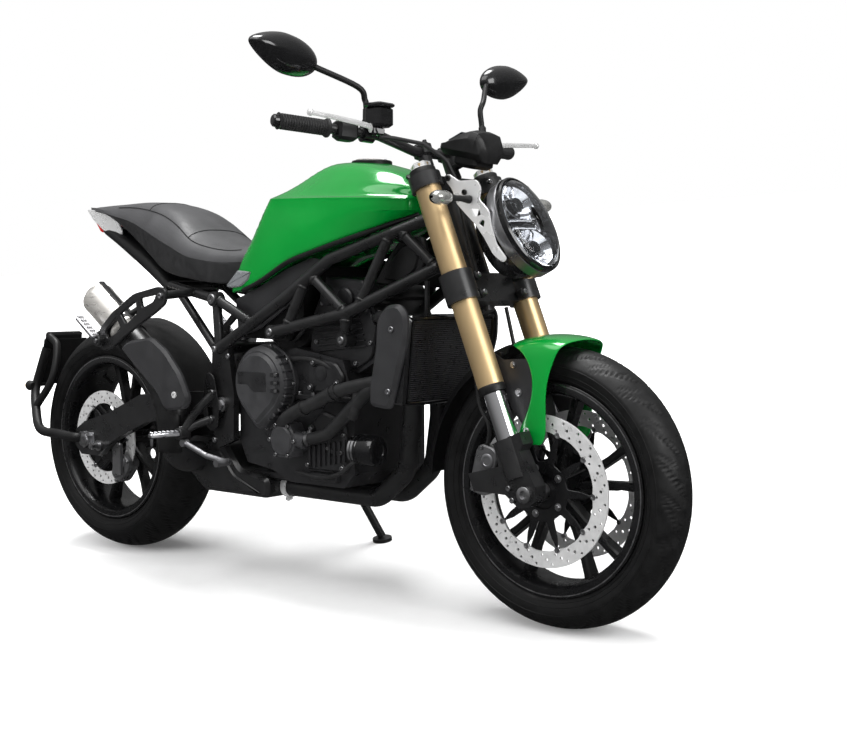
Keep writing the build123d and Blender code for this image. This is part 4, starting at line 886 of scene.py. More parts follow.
collar, bezel, bowl = Shape(), Shape(), Shape()
oval_ring(collar, [(-32, 88, 110), (-30, 90, 112), (-8, 91, 113), (-7, 88, 110)])
oval_ring(bezel, [(-8, 89, 111), (-2, 91, 113), (5, 90, 112), (8, 86, 108), (6, 83, 105), (-4, 82, 104)])
ovals(bowl, [(2, 82, 104), (-6, 80, 102), (-20, 74, 95), (-30, 60, 80), (-32, 10, 10)], close=False)
make(collar, "headlight_collar", "steering", silver)
make(bezel, "headlight_bezel", "steering", plastic_gloss)
make(bowl, "headlight_bowl", "steering", lamp_bowl)

rims, eyes, bars, pupils = Shape(), Shape(), Shape(), Shape()
for up in (-52, 52):
    oval_ring(rims, [(-28, 34, 30), (-8, 50, 38), (-3, 54, 41), (-4, 57, 43), (-12, 56, 42)], 64, up)
    ovals(pupils, [(-30, 34, 30), (-24, 22, 20), (-10, 20, 18), (-9, 16, 14)], 40, up)
    ovals(eyes, [(-10, 19, 17), (-4, 17, 15), (0, 10, 9), (1, 2, 2)], 40, up)
for up in (-9, 9):
    line = [in_light(across, up, -6 + 6 * (1 - (across / 64) ** 2)) for across in range(-64, 65, 8)]
    tube(bars, line, 3.2, 8)
make(rims, "headlight_reflectors", "steering", lamp_mirror)
make(pupils, "headlight_pupils", "steering", plastic_gloss)
make(eyes, "headlight_projectors", "steering", glass)
make(bars, "headlight_bars", "steering", lamp_mirror)
band = Shape()
block(band, in_light(0, 0, -14), (136, 12, 12), 3, LEFT, LIGHT_OUT)
make(band, "headlight_band", "steering", plastic_grey)
outer_lens = Shape()
dome = [(4, 82, 104), (10, 79, 101), (16, 68, 90), (20, 48, 68), (22, 22, 34), (22.5, 4, 6)]
ovals(outer_lens, dome, close=False)
make(outer_lens, "headlight_cover", "steering", smoke, thick=2.0)

# Headlight brackets with cut-outs

bracket = rounded([
    (494, 954), (500, 968), (530, 950), (577, 950), (588, 932), (582, 910), (608, 884), (614, 856),
    (628, 814), (654, 784), (646, 776), (620, 794), (598, 828), (575, 857), (545, 884), (524, 904),
    (512, 934),
], 7)
slots = [
    rounded([(559, 892), (584, 890), (590, 876), (572, 872)], 4),
    rounded([(590, 868), (600, 864), (596, 848), (582, 858)], 4),
]
flat_cut(
    "headlight_brackets", "steering", bright_metal, (0, 0, 0), 92.8, [bracket] + slots, 5.0,
    0.9, ["headlight_brackets"], True
)
bracket_screws = Shape()
for side in (-1, 1):
    for x, z in ((546, 926), (502, 958)):
        socket_bolt(bracket_screws, (x, side * 95.5, z), (0, side, 0), 6, 4)
make(bracket_screws, "bracket_screws", "steering", plastic_black)

# Front indicators: black back, clear front

backs, fronts, bulbs = Shape(), Shape(), Shape()
for side in (-1, 1):
    middle = Vector((550, side * 182, 910))
    tube(
        backs, smooth_path([(560, side * 97, 910), (556, side * 125, 911), (552, side * 158, 910)]),
        [9, 9, 8, 7.5, 7, 6.5, 6.5, 6.5, 6.5, 7, 8, 8, 8], 14
    )
    for shape, first, reach in ((backs, 90, 17), (fronts, -90, 20)):
        points = []
        rows, columns = 15, 17
        for row in range(rows):
            t = -1 + 2 * row / (rows - 1)
            girth = sqrt(max(0.0, 1 - min(0.98, abs(t)) ** 2.6))
            for column in range(columns):
                turn = radians(first + 180 * column / (columns - 1))
                points.append(middle + Vector((reach * girth * cos(turn), 30 * t, 15 * girth * sin(turn))))
        shape.add(points, grid_faces(rows, columns))
    lathe(bulbs, middle + Vector((-4, -9, 0)), LEFT, [(0, 2), (1, 4.5), (17, 4.5), (18, 2)], 12)
make(backs, "indicator_backs", "steering", plastic_black, ["front_indicators"], soft=60)
make(fronts, "indicator_lenses", "steering", indicator_clear, soft=60, thick=1.6)
make(bulbs, "indicator_bulbs", "steering", amber)

# Handlebar: ribbed grips, bar ends, levers, switch pods, reservoir

BAR_MIDDLE = on_fork(-33, 0, 800)
BAR_KNEE = BAR_MIDDLE + Vector((-12, -178, 27))
BAR_END = BAR_KNEE + Vector((-78, -227, 16))
BAR_RUN = (BAR_END - BAR_KNEE).normalized()
BAR_LENGTH = (BAR_END - BAR_KNEE).length
GRIP_LENGTH, GRIP_RIBS, RIB_STEP = 118, 17, 6
POD_AT, PERCH_AT, SWITCH_AT, TUB_AT = 81, 28, 74, 20       # out from the knee, along the bar


def on_bar(along, side=-1):
    """A point on the bar's straight end, measured out from its knee."""
    p = BAR_KNEE + BAR_RUN * along
    return Vector((p.x, -side * p.y, p.z))


grips, ends, levers, pods, perches, reds = Shape(), Shape(), Shape(), Shape(), Shape(), Shape()
for side in (-1, 1):
    run = Vector((BAR_RUN.x, -side * BAR_RUN.y, BAR_RUN.z))
    start = on_bar(BAR_LENGTH - GRIP_LENGTH, side)
    profile = [(0, 11.5), (0, 20), (3, 20.5), (6, 19)]
    for rib in range(GRIP_RIBS):
        at = 8 + rib * RIB_STEP
        profile += [(at, 15.6), (at + 1.5, 16.9), (at + 4.2, 16.9), (at + 5.4, 15.6)]
    profile += [(112, 16.5), (115, 18), (116, 16), (116, 11.5)]
    lathe(grips, start, run, profile, 32)
    lathe(ends, on_bar(BAR_LENGTH - 2, side), run, [(0, 12), (1, 14), (9, 13), (12, 10), (12.5, 5)], 28)
    root = on_bar(45.2, side) + Vector((30, 0, 4))
    bend = on_bar(66, side) + Vector((48, 0, 8))
    tip = on_bar(BAR_LENGTH - 8, side) + Vector((88, 0, 10))
    mid = bend + (tip - bend) * 0.5 + Vector((6, 0, 0))
    line = smooth_path([root, bend, mid, tip], 8)
    sizes = [6.5 - 1.6 * i / (len(line) - 1) for i in range(len(line))]
    tube(levers, line, sizes, 14, 0.75)
    lathe(levers, tip - run * 5, run, [(0, 3), (2, 6.5), (6, 7.6), (10, 6.5), (12, 3)], 18)
    middle = on_bar(POD_AT, side)
    block(pods, middle, (46, 42, 44), 7, run)
    block(pods, middle + Vector((-20, 0, 10)), (26, 10, 14), 3, run)
    for push, up in ((-8, 9), (8, 9), (0, -8)):
        button = middle + run * push + Vector((-19, 0, up))
        lathe(pods, button, (-1, 0, 0.1), [(0, 5.5), (4, 5.5), (5, 4.5)], 16)
    perch = on_bar(PERCH_AT, side)
    lathe(perches, perch - run * 14, run, [(0, 17), (1, 19), (27, 19), (28, 17)], 32)
    block(perches, perch + Vector((26, 0, 3)), (30, 26, 18), 4, run)
    socket_bolt(perches, on_bar(44, side) + Vector((30, 0, 12)), UP, 6, 5)
    tube(perches, [on_bar(32, side) + Vector((18, 0, 2)), on_bar(32, side) + Vector((38, 0, 5))], 9.5, 18)
lathe(reds, on_bar(SWITCH_AT) + Vector((-22, 0, 12)), (-1, 0, 0.3), [(0, 7), (5, 7), (6, 5.5)], 18)
tub = on_bar(TUB_AT) + Vector((26, 0, 12))
block(perches, tub + UP * 22, (44, 48, 44), 6)
block(perches, tub + UP * 47, (47, 51, 9), 3)
for x, y in ((-14, -17), (14, 17)):
    socket_bolt(perches, tub + Vector((x, y, 51)), UP, 3, 1.5)
make(grips, "grips", "steering", hose_rubber, ["grips"])
make(ends, "bar_ends", "steering", plastic_gloss)
make(levers, "levers", "steering", bright_metal, ["levers"], soft=60)
make(pods, "switch_pods", "steering", plastic_black, ["bar_controls"])
make(perches, "lever_perches", "steering", plastic_gloss)
make(reds, "stop_switch", "steering", red_plastic)

clamp_top = Shape()
for side in (-1, 1):
    clamp = BAR_MIDDLE + LEFT * side * 42
    block(clamp_top, clamp + FORK_UP * 4, (40, 30, 32), 5, FORK_FORWARD, FORK_UP)
    for ahead in (-13, 13):
        socket_bolt(clamp_top, clamp + FORK_UP * 20 + FORK_FORWARD * ahead, FORK_UP, 5, 5)
lathe(clamp_top, on_fork(-28, 0, 722), FORK_UP, [(0, 26), (6, 26), (8, 22), (12, 20), (13, 10)], 6)
make(clamp_top, "bar_clamps", "steering", frame_black)

# Mirrors: drop-shaped shells on bent stems, glass towards the rider

MIRROR_STEPS = 48
MIRROR_RINGS = [(0, 1.0), (4, 1.03), (12, 1.0), (22, 0.9), (30, 0.72), (35, 0.45), (37, 0.12)]
MIRROR_HALF_WIDTH, MIRROR_HALF_HEIGHT = 92, 41
MIRROR_SKEW = 17       # the left one stands higher and the right one lower, as in the photograph

shells, stems, glasses = Shape(), Shape(), Shape()
for side in (-1, 1):
    head = Vector((292, side * 384, 1224 + side * MIRROR_SKEW))
    post = on_bar(PERCH_AT, side) + UP * 18
    elbow = Vector((post.x - 6, post.y, 1150 + side * 10))
    joint = head + Vector((12, -side * 52, -6))
    route = [
        post, post + Vector((-2, 0, 40)), elbow + Vector((0, 0, -14)),
        elbow + Vector((-4, side * 18, 12)), joint + Vector((0, -side * 28, -10)), joint,
    ]
    tube(stems, smooth_path(route), 6.5, 14)
    lathe(stems, post, UP, [(0, 11), (10, 11), (12, 9.5), (34, 9), (38, 6)], 16)
    socket = joint + Vector((-2, -side * 8, -3))
    lathe(stems, socket, (0, side, 0.2), [(-10, 8), (2, 13), (14, 14.5), (22, 12)], 20)
    points = []
    for out, size in MIRROR_RINGS:
        for turn in turns(MIRROR_STEPS):
            outward = cos(turn)
            width = MIRROR_HALF_WIDTH * size * outward
            taper = 1.0 - 0.42 * max(0.0, outward) ** 1.5 + 0.06 * max(0.0, -outward)
            height = MIRROR_HALF_HEIGHT * size * sin(turn) * taper
            rise = 0.1 * width + 5 * size * max(0, outward) ** 2
            points.append(head + Vector((out, side * width, height + rise)))
    shells.add(points, capped_grid(len(MIRROR_RINGS), MIRROR_STEPS))
    face = [p + FORWARD * -0.8 for p in points[:MIRROR_STEPS]]
    centre = sum(face, Vector()) / MIRROR_STEPS
    face = [centre + (p - centre) * 0.93 for p in face]
    sides = grid_faces(2, MIRROR_STEPS, round_columns=True)
    glasses.add(face + [p + FORWARD * 0.6 for p in face], sides + [tuple(range(MIRROR_STEPS))])
make(shells, "mirrors", "steering", plastic_gloss, ["mirrors"], soft=50)
make(stems, "mirror_stems", "steering", plastic_black, soft=50)
make(glasses, "mirror_glasses", "steering", mirror_glass)

# Instruments: a hooded pod with a plain dark screen

DASH = Vector((494, 0, 1030))
DASH_ALONG = Vector((0.978, 0, -0.208))
DASH_UP = Vector((0.208, 0, 0.978))
pod = Shape()
sections = [      # along the pod: half width, top, underside
    (-58, 36, -4, 16), (-54, 46, 2, 20), (-40, 50, 8, 22), (-6, 54, 30, 22), (22, 54, 41, 22),
    (40, 50, 38, 24), (52, 42, 24, 26), (60, 30, 4, 26), (63, 20, -8, 20),
]
points = []
for along, half, top, low in sections:
    flank = [(1, -low * 0.4), (0.98, top * 0.5), (0.8, top * 0.9), (0.4, top)]
    outline = [(-half * share, v) for share, v in flank]
    outline += [(half * share, v) for share, v in reversed(flank)]
    outline += [(half * 0.7, -low), (-half * 0.7, -low)]
    points += [DASH + DASH_ALONG * along + LEFT * u + DASH_UP * v for u, v in outline]
pod.add(points, capped_grid(len(sections), 10))
block(pod, DASH + DASH_UP * -28 + DASH_ALONG * 10, (62, 74, 30), 8, DASH_ALONG, DASH_UP)
tube(pod, [on_fork(6, 0, 722), on_fork(8, 0, 748), DASH + DASH_UP * -22], 9, 14)
make(pod, "dash", "steering", plastic_black, ["dash"], bevel=2.0, soft=50)
screen = Shape()
SCREEN_ALONG = (DASH_ALONG * 34 + DASH_UP * 22).normalized()
SCREEN_UP = LEFT.cross(-SCREEN_ALONG)
SCREEN = DASH + DASH_ALONG * -23 + DASH_UP * 20.5
block(screen, SCREEN, (40, 78, 3), 1, SCREEN_ALONG, SCREEN_UP)
make(screen, "dash_screen", "steering", screen_dark)
marks = Shape()
for row in range(9):
    turn = radians(200 - row * 27.5)
    spot = SCREEN + SCREEN_ALONG * (13 * sin(turn) - 4) + LEFT * 28 * cos(turn) + SCREEN_UP * 1.7
    block(marks, spot, (5, 1.6, 0.8), 0.2, SCREEN_ALONG * sin(turn) + LEFT * cos(turn), SCREEN_UP)
make(marks, "dash_marks", "steering", light_bar)

# Tank, seat and tail: smooth skins close to the solids' own cross sections

def along_sections(sections, steps):
    """The rows of a section table, filled in smoothly between the given ones."""
    rows = []
    last = len(sections) - 1
    for index in range(last):
        before, here = sections[max(index - 1, 0)], sections[index]
        there, after = sections[index + 1], sections[min(index + 2, last)]
        for step in range(steps):
            rows.append(tuple(blend(*four, step / steps) for four in zip(before, here, there, after)))
    rows.append(sections[last])
    return rows


def half_curve(points, steps):
    """A smooth flat curve through points as (y, z) pairs."""
    return [(p.y, p.z) for p in smooth_path([(0, y, z) for y, z in points], steps)]


def skin(shape, rows):
    """A closed skin through rows of (x, right half curve from the bottom up)."""
    points = []
    for x, curve in rows:
        points += [(x, -y, z) for y, z in curve]
        points += [(x, y, z) for y, z in reversed(curve[:-1])]
    shape.add(points, capped_grid(len(rows), 2 * len(rows[0][1]) - 1))


def cut_off(shape, place, way):
    """Drops what lies beyond a plane and closes the cut."""
    mesh = bmesh.new()
    corners = [mesh.verts.new(p) for p in shape.points]
    for face in shape.faces:
        mesh.faces.new([corners[i] for i in face])
    everything = mesh.verts[:] + mesh.edges[:] + mesh.faces[:]
    bmesh.ops.bisect_plane(mesh, geom=everything, plane_co=place, plane_no=way, clear_outer=True)
    bmesh.ops.holes_fill(mesh, edges=[e for e in mesh.edges if e.is_boundary], sides=0)
    mesh.verts.index_update()
    shape.points = [v.co.copy() for v in mesh.verts]
    shape.faces = [tuple(v.index for v in f.verts) for f in mesh.faces]
    mesh.free()


TANK_REAR = Vector((-20, 0, 942))
TANK_REAR_WAY = Vector((-0.845, 0, 0.535))

# Rows of the tank: x, bottom, half width at the foot, widest half width, shoulder, half width on top, top

TANK_SECTIONS = [
    (378, 896, 30, 50, 940, 34, 952), (374, 890, 46, 70, 944, 50, 960),
    (362, 884, 58, 86, 948, 60, 968), (330, 872, 80, 111, 956, 80, 988),
    (280, 854, 106, 135, 963, 98, 1005), (210, 832, 130, 151, 972, 104, 1019),
    (130, 810, 138, 154, 975, 105, 1022), (50, 788, 138, 152, 970, 100, 1015),
    (-30, 752, 134, 147, 958, 94, 998), (-100, 728, 128, 139, 944, 87, 975),
    (-165, 716, 122, 131, 930, 82, 955),
]


def tank_curve(x, bottom, foot, widest, shoulder, top_half, top):
    """Half a cross section of the tank, with a crease between the flank and the top."""
    crease = min(936 - 0.035 * x, shoulder - 14)
    flank = half_curve([
        (foot - 5, bottom), (foot + 2, bottom + 10),
        (foot + 0.7 * (widest - foot), bottom + 0.45 * (crease - bottom)),
        (widest - 2, crease - 26), (widest + 0.5, crease - 3),
    ], 5)
    crown = half_curve([
        (widest + 1.5, crease), (widest - 13, crease + 9), (top_half, shoulder + 2),
        (top_half * 0.6, top - 9), (0, top),
    ], 5)
    return flank + crown


TANK_ROUND = 30
REAR_FOOT = (-157, 726)
REAR_SLOPE = 0.633
REAR_BEND, REAR_CURVE = 881, 0.004
FILLER_X = 196


def rear_line(z):
    """How far back the tank reaches at a height: straight along the seat, then bending forward."""
    return REAR_FOOT[0] + REAR_SLOPE * (z - REAR_FOOT[1]) + REAR_CURVE * max(0.0, z - REAR_BEND) ** 2


def rounded_rear(p):
    """A point of the tank's skin, drawn in where it comes near the rear face."""
    beyond = 0.845 * (rear_line(p[2]) - p[0])
    share = min(1.0, max(0.0, 1 + beyond / TANK_ROUND))
    pull = TANK_ROUND * (1 - sqrt(1 - share ** 2)) * min(1.0, max(0.1, (p[2] - 780) / 110))
    way = Vector((0, p[1] / 130, max(0.0, min(1.0, (p[2] - 938) / 40))))
    return Vector(p) - way.normalized() * pull if way.length > 0.01 else Vector(p)


tank = Shape()
tank_rows = along_sections(TANK_SECTIONS, 12)
skin(tank, [(row[0], tank_curve(*row)) for row in tank_rows])
tank.points = [rounded_rear(p) for p in tank.points]
for height in (780, 888, 902, 916, 930, 944, 958, 972, 986):
    slope = REAR_SLOPE + 2 * REAR_CURVE * max(0, height - REAR_BEND)
    cut_off(tank, Vector((rear_line(height), 0, height)), Vector((-1, 0, slope)).normalized())
make(tank, "fuel_tank", "chassis", green_paint, ["fuel_tank"], soft=32)

seam = Shape()
for side in (-1, 1):
    line = [(row[0], side * (row[2] + 1), row[1] - 3) for row in tank_rows[10::5] if row[0] > -128]
    tube(seam, smooth_path(line, 2), 6, 10)
lathe(seam, (FILLER_X, 0, 1016), UP, [(-4, 48), (4, 48), (6.5, 46), (6.5, 40)], 56)
block(seam, (352, 0, 962), (44, 96, 34), 10, (0.86, 0, -0.5), (0.5, 0, 0.86))
make(seam, "tank_trim", "chassis", plastic_black)
corner = Shape()
corner_edge = rounded([(-170, 733), (-128, 770), (-78, 766), (-90, 747), (-120, 730), (-160, 728)], 4)
for side in (-1, 1):
    panel(corner, corner_edge, 118, 136, 3, side_plane(side))
make(corner, "tank_corners", "chassis", trim_silver)
filler = Shape()
lathe(filler, (FILLER_X, 0, 1021), (0.04, 0, 1), [(0, 39), (3.5, 38), (5, 34), (5, 8), (4, 7)], 48)
block(filler, (190, 0, 1026.5), (26, 13, 4), 1.5)
make(filler, "filler_cap", "chassis", brushed)
filler_screws = Shape()
for x, y in circle(43, 5, (FILLER_X, 0)):
    socket_bolt(filler_screws, (x, y, 1022.5), UP, 3, 2)
make(filler_screws, "filler_screws", "chassis", steel)

# Rows of the seat and the tail: x, bottom, half width at the foot, middle, widest half width, shoulder,
# half width of the top, top

SEAT_SECTIONS = [
    (-60, 736, 70, 790, 86, 832, 52, 846), (-130, 737, 98, 790, 108, 828, 70, 838),
    (-200, 738, 116, 790, 122, 826, 84, 836), (-270, 744, 121, 797, 127, 837, 90, 848),
    (-330, 753, 122, 808, 128, 857, 92, 872), (-390, 763, 116, 830, 124, 900, 87, 915),
    (-450, 780, 106, 852, 117, 928, 80, 943), (-520, 818, 92, 880, 106, 944, 74, 958),
    (-600, 862, 76, 908, 91, 952, 66, 964), (-700, 908, 56, 930, 73, 954, 52, 964),
    (-780, 936, 40, 946, 55, 957, 40, 964), (-856, 952, 20, 955, 29, 959, 20, 963),
]
SEAT_LOW, SEAT_HIGH = 9, 13          # points kept below and above the edge of the cushion
SEAM_AT = 5
SEAM_REAR, SEAM_FRONT = -690, -150
SEAM_RADIUS = 1.3


def seat_curve(bottom, foot, middle, widest, shoulder, top_half, top):
    """Half a cross section of the seat: a firm flank below, a soft rounded cushion above."""
    low = half_curve(
        [(foot - 6, bottom), (foot, bottom + 5), (widest - 1, middle - 4), (widest, middle + 4)], 3
    )[:SEAT_LOW]
    rise = top - middle
    high = half_curve([
        (widest + 1, middle + 6), (widest - 4, middle + 0.42 * rise), (top_half + 4, shoulder),
        (top_half * 0.55, top - 2.5), (0, top),
    ], 3)[:SEAT_HIGH]
    return low, high


cushion, flank = Shape(), Shape()
curves = [(row[0], *seat_curve(*row[1:])) for row in along_sections(SEAT_SECTIONS, 5)]
skin(cushion, [(x, low[-2:] + high) for x, low, high in curves])
flank_rows = []
for x, low, high in curves:
    y, z = low[-1]
    flank_rows.append((x, low[:-1] + [(y - 2, z), (y - 8, z + 5)]))
skin(flank, flank_rows)
for piece in (cushion, flank):
    cut_off(piece, TANK_REAR + TANK_REAR_WAY * 1.2, -TANK_REAR_WAY)
pad = make(cushion, "seat", "chassis", seat_vinyl, ["seat"], soft=60)
make(flank, "seat_base", "chassis", seat_side, soft=60)

stitching = Shape()
for side in (-1, 1):
    line = []
    for x, low, high in curves:
        y, z = high[SEAM_AT]
        if SEAM_REAR < x < SEAM_FRONT:
            line.append((x, side * y * 1.005, z + 0.4))
    tube(stitching, line, SEAM_RADIUS, 6)
for x_cross in (-345, -520):
    x, low, high = min(curves, key=lambda row: abs(row[0] - x_cross))
    line = [(x, -y, z + 0.3) for y, z in high[SEAM_AT:]]
    line += [(x, y, z + 0.3) for y, z in high[-2:SEAM_AT - 1:-1]]
    tube(stitching, line, SEAM_RADIUS, 6)
make(stitching, "seat_seams", "chassis", hose_rubber)

TAIL_SECTIONS = [
    (-452, 708, 74, 726, 92, 748, 70, 756), (-560, 772, 64, 792, 78, 814, 60, 818),
    (-700, 842, 44, 858, 58, 876, 46, 882), (-790, 882, 30, 892, 38, 906, 30, 911),
]
tail = Shape()
tail_rows = []
for x, bottom, foot, middle, widest, shoulder, top_half, top in along_sections(TAIL_SECTIONS, 4):
    tail_rows.append((x, half_curve([(foot, bottom), (widest, middle), (top_half, shoulder), (0, top)], 4)))
skin(tail, tail_rows)
make(tail, "tail_cowl", "chassis", plastic_black, ["tail_cowl"], soft=40)
tail_trim = Shape()
trim = rounded([
    (-862, 955), (-812, 950), (-762, 938), (-716, 912), (-700, 880), (-732, 868), (-788, 894), (-836, 926),
], 8)
for side in (-1, 1):
    panel(tail_trim, trim, 36, 41, 1.6, side_plane(side))
make(tail_trim, "tail_trim", "chassis", bright_metal)
tail_lens = Shape()
block(tail_lens, (-822, 0, 912), (44, 54, 30), 6, (0.62, 0, -0.78), (0.78, 0, 0.62))
make(tail_lens, "tail_lens", "chassis", red_lens, ["tail_light"])

# Dark panels behind the front of the frame, on pegs to its rails

inner = Shape()
inner_edge = rounded(
    [(262, 735), (300, 790), (345, 838), (408, 838), (420, 795), (405, 756), (350, 724)], 12
)
inner_field = rounded(
    [(292, 744), (314, 786), (352, 820), (392, 820), (398, 790), (386, 762), (346, 738)], 10
)
for side in (-1, 1):
    plane = side_plane(side)
    panel(inner, inner_edge, 58, 70, 4, plane)
    panel(inner, inner_field, 68, 74, 3, plane)
    tube(inner, [(345, side * 66, 832), (343, side * 90, 846)], 8, 14)
    tube(inner, [(352, side * 66, 730), (350, side * 90, 724)], 8, 14)
make(inner, "inner_panels", "chassis", plastic_black)

# Engine: side covers, castings, filter, hoses, radiator and its shrouds

CASE_SIDE = 125        # the engine's flank, out from the middle
HEAD_SIDE = 103

def egg(first, first_radius, second, second_radius, grow=0.0, steps=64):
    """The outline round two circles, as (forward, up) points."""
    points = []
    for turn in turns(steps):
        way = Vector((cos(turn), sin(turn)))
        a = Vector(first) + way * (first_radius + grow)
        b = Vector(second) + way * (second_radius + grow)
        points.append(tuple(a if a.dot(way) > b.dot(way) else b))
    return points


def bolt_ring(shape, centre, radius, count, side, radius_head=5.5, start=0.0):
    """Screw heads evenly round a cover, on a face to one side."""
    for turn in turns(count, start):
        socket_bolt(shape, Vector(centre) + wheel_way(turn) * radius, LEFT * side, radius_head, 4.5)


PUMP = Vector((57, 0, 368))
ALTERNATOR = Vector((95, 0, 430))
covers, dark, screws = Shape(), Shape(), Shape()
clutch_egg = ((-22, 500), 84, (-26, 418), 24)
for grow, low, high, edge in ((9, CASE_SIDE, 138, 3), (4, 136, 162, 4), (0, 158, 170, 7), (-9, 166, 177, 9)):
    panel(covers, egg(*clutch_egg, grow), low, high, edge)
# The recess is not cut in: a dark plate laid just proud of the cover is painted shade standing in for the
# hollow. Three smaller dark plates, each with a steel tab, sit beside it.
recess = [(-84, 527), (14, 527), (14, 480), (-32, 480), (-50, 496), (-84, 496)]
panel(dark, rounded(recess, 4), 175, 177.6, 0.4)
for row in range(3):
    z = 522 - row * 19
    panel(dark, rounded([(28, z + 5), (52, z + 5), (52, z - 5), (28, z - 5)], 4), 170, 177.6, 0.4)
    block(screws, (46, -177.6, z), (9, 2, 7), 0.8)
for turn in range(-70, 60, 13):
    way = wheel_way(radians(turn))
    block(covers, Vector((-22, -152, 500)) + way * 88, (12, 26, 5), 1.5, way, Vector((-way.z, 0, way.x)))
for u, v in egg(*clutch_egg, grow=4, steps=9):
    socket_bolt(screws, (u, -138, v), RIGHT, 5, 5)
pump_lobes = []
for turn in turns(72):
    reach = 41 + 5 * max(0.0, cos(6 * turn)) ** 2
    pump_lobes.append((PUMP.x + reach * cos(turn), PUMP.z + reach * sin(turn)))
panel(covers, pump_lobes, CASE_SIDE, 168, 3)
lathe(covers, PUMP + RIGHT * 166, RIGHT, [(0, 36), (5, 35), (8, 31), (8.5, 10)], 40)
bolt_ring(screws, PUMP + RIGHT * 168, 40, 6, -1, 5)
spout = [PUMP + Vector(offset) for offset in ((20, -150, 10), (38, -150, 4), (62, -148, 0))]
tube(covers, smooth_path(spout, 5), 19, 20)
lathe(
    covers, ALTERNATOR + LEFT * CASE_SIDE, LEFT,
    [(0, 92), (10, 92), (12, 87), (38, 84), (45, 76), (47, 60), (45, 54)], 64
)
bolt_ring(screws, ALTERNATOR + LEFT * 136, 88, 8, 1)
sprocket_cover = rounded([(-122, 404), (-118, 500), (-60, 520), (-8, 500), (-8, 400), (-60, 384)], 14)
panel(covers, sprocket_cover, CASE_SIDE, 151, 6, side_plane(1))
for u, v in ((-108, 412), (-104, 490), (-20, 490), (-20, 410)):
    socket_bolt(screws, (u, 151, v), LEFT, 6, 4)
make(covers, "engine_covers", "chassis", cover_grey, ["engine_covers"])
make(dark, "clutch_recess_painted_shade", "chassis", engine_black)

CASE_RING = [(0, 36), (9, 35), (12, 30), (12, 22), (9, 20)]
castings = Shape()
cylinder = rounded(
    [(95, 574), (236, 538), (286, 566), (300, 636), (250, 722), (146, 734), (104, 660)], 14
)
for side in (-1, 1):
    panel(castings, cylinder, 96, 104, 3, side_plane(side))
for row in range(6):
    z = 586 + row * 13
    for side in (-1, 1):
        block(castings, (196 - row * 4, side * 105, z), (150, 8, 4.5), 1, (1, 0, 0.1))
head_cover = rounded([(138, 700), (262, 684), (284, 700), (258, 742), (138, 752)], 9)
panel(castings, head_cover, -HEAD_SIDE, HEAD_SIDE, 4)
for side in (-1, 1):
    lathe(castings, (206, side * HEAD_SIDE, 700), (0, side, 0), [(0, 27), (7, 26), (10, 22), (10, 9)], 36)
    lathe(castings, (150, side * HEAD_SIDE, 706), (0, side, 0), [(0, 22), (6, 21), (8, 18), (8, 6)], 32)
    for u, v in ((112, 600), (236, 552), (282, 600), (270, 676), (132, 690)):
        socket_bolt(screws, (u, side * 104, v), (0, side, 0), 5.5, 4)
    block(castings, (106, side * 128, 470), (280, 12, 14), 3)
    for x in range(-10, 250, 44):
        socket_bolt(screws, (x, side * 128, 477), UP, 5, 5)
    for x, z, long in ((150, 300, 80), (190, 420, 60), (190, 520, 56)):
        block(castings, (x, side * 127, z), (long, 8, 7), 2)
    lathe(castings, (200, side * 124, 372), (0, side, 0), CASE_RING, 40)
    bolt_ring(screws, (200, side * 134, 372), 30, 4, side, 4.5, 0.6)
    lathe(castings, (152, side * 124, 528), (0, side, 0), [(0, 20), (10, 19), (12, 15), (12, 6)], 30)
low_cover = rounded([(96, 300), (232, 300), (240, 340), (226, 420), (150, 440), (110, 400)], 16)
high_cover = rounded([(110, 484), (210, 484), (226, 520), (200, 552), (110, 566)], 12)
sump_edge = rounded([(120, 276), (206, 276), (206, 294), (120, 294)], 5)
for side in (-1, 1):
    plane = side_plane(side)
    panel(castings, low_cover, CASE_SIDE, 134, 5, plane)
    panel(castings, high_cover, CASE_SIDE, 133, 4, plane)
    panel(castings, sump_edge, 120, 140, 3, plane)
    for x in range(118, 234, 16):
        block(castings, (x, side * 136, 330 + 0.2 * (x - 118)), (5, 6, 52), 1.5)
    for u, v in ((112, 312), (222, 312), (214, 410), (124, 398), (122, 494), (206, 506), (132, 552)):
        lathe(castings, (u, side * 132, v), (0, side, 0), [(0, 10), (6, 9), (7, 8)], 20)
        socket_bolt(screws, (u, side * 138, v), (0, side, 0), 5.5, 4)
intake = rounded([(-10, 560), (60, 590), (86, 650), (60, 690), (-30, 660), (-70, 600)], 16)
panel(castings, intake, -80, 80, 5)
block(castings, (20, 0, 268), (300, 180, 22), 5)
make(castings, "engine_castings", "chassis", engine_black)
make(screws, "engine_screws", "chassis", steel)

FILTER = Vector((250, -118, 357))
can, ring = Shape(), Shape()
lathe(can, FILTER, FORWARD, [
    (0, 33), (2, 35), (22, 35), (23, 33.5), (26, 33.5), (27, 35), (58, 35), (66, 32), (69, 26), (69, 17),
    (66, 15),
], 48)
for at in (5, 14):
    band = [(-3, 36.2), (3, 36.2), (3, 34.6), (-3, 34.6)]
    turned_ring(ring, FILTER + FORWARD * at, FORWARD, band, 56)
make(can, "oil_filter", "chassis", plastic_gloss, ["oil_filter"])
make(ring, "filter_rings", "chassis", chrome)

clips, hoses = Shape(), Shape()
for place, way, radius in (
    ((374, -139, 501), (-1, -0.17, 0), 16.4), ((128, -148, 373), (-0.97, 0, -0.24), 16.4),
    ((112, -148, 369), (-1, 0, 0), 16.4), ((300, -96, 655), (0.9, -0.4, 0), 15.4),
    ((396, -119, 637), (1, 0, -0.4), 15.4),
):
    band = [(-4.5, radius), (4.5, radius), (4.5, radius - 2), (-4.5, radius - 2)]
    turned_ring(clips, place, way, band, 28)
    block(clips, Vector(place) + Vector((0, 0, radius + 2)), (10, 7, 8), 1.5, way)
# Each hose: radius, segments, steps between points, points

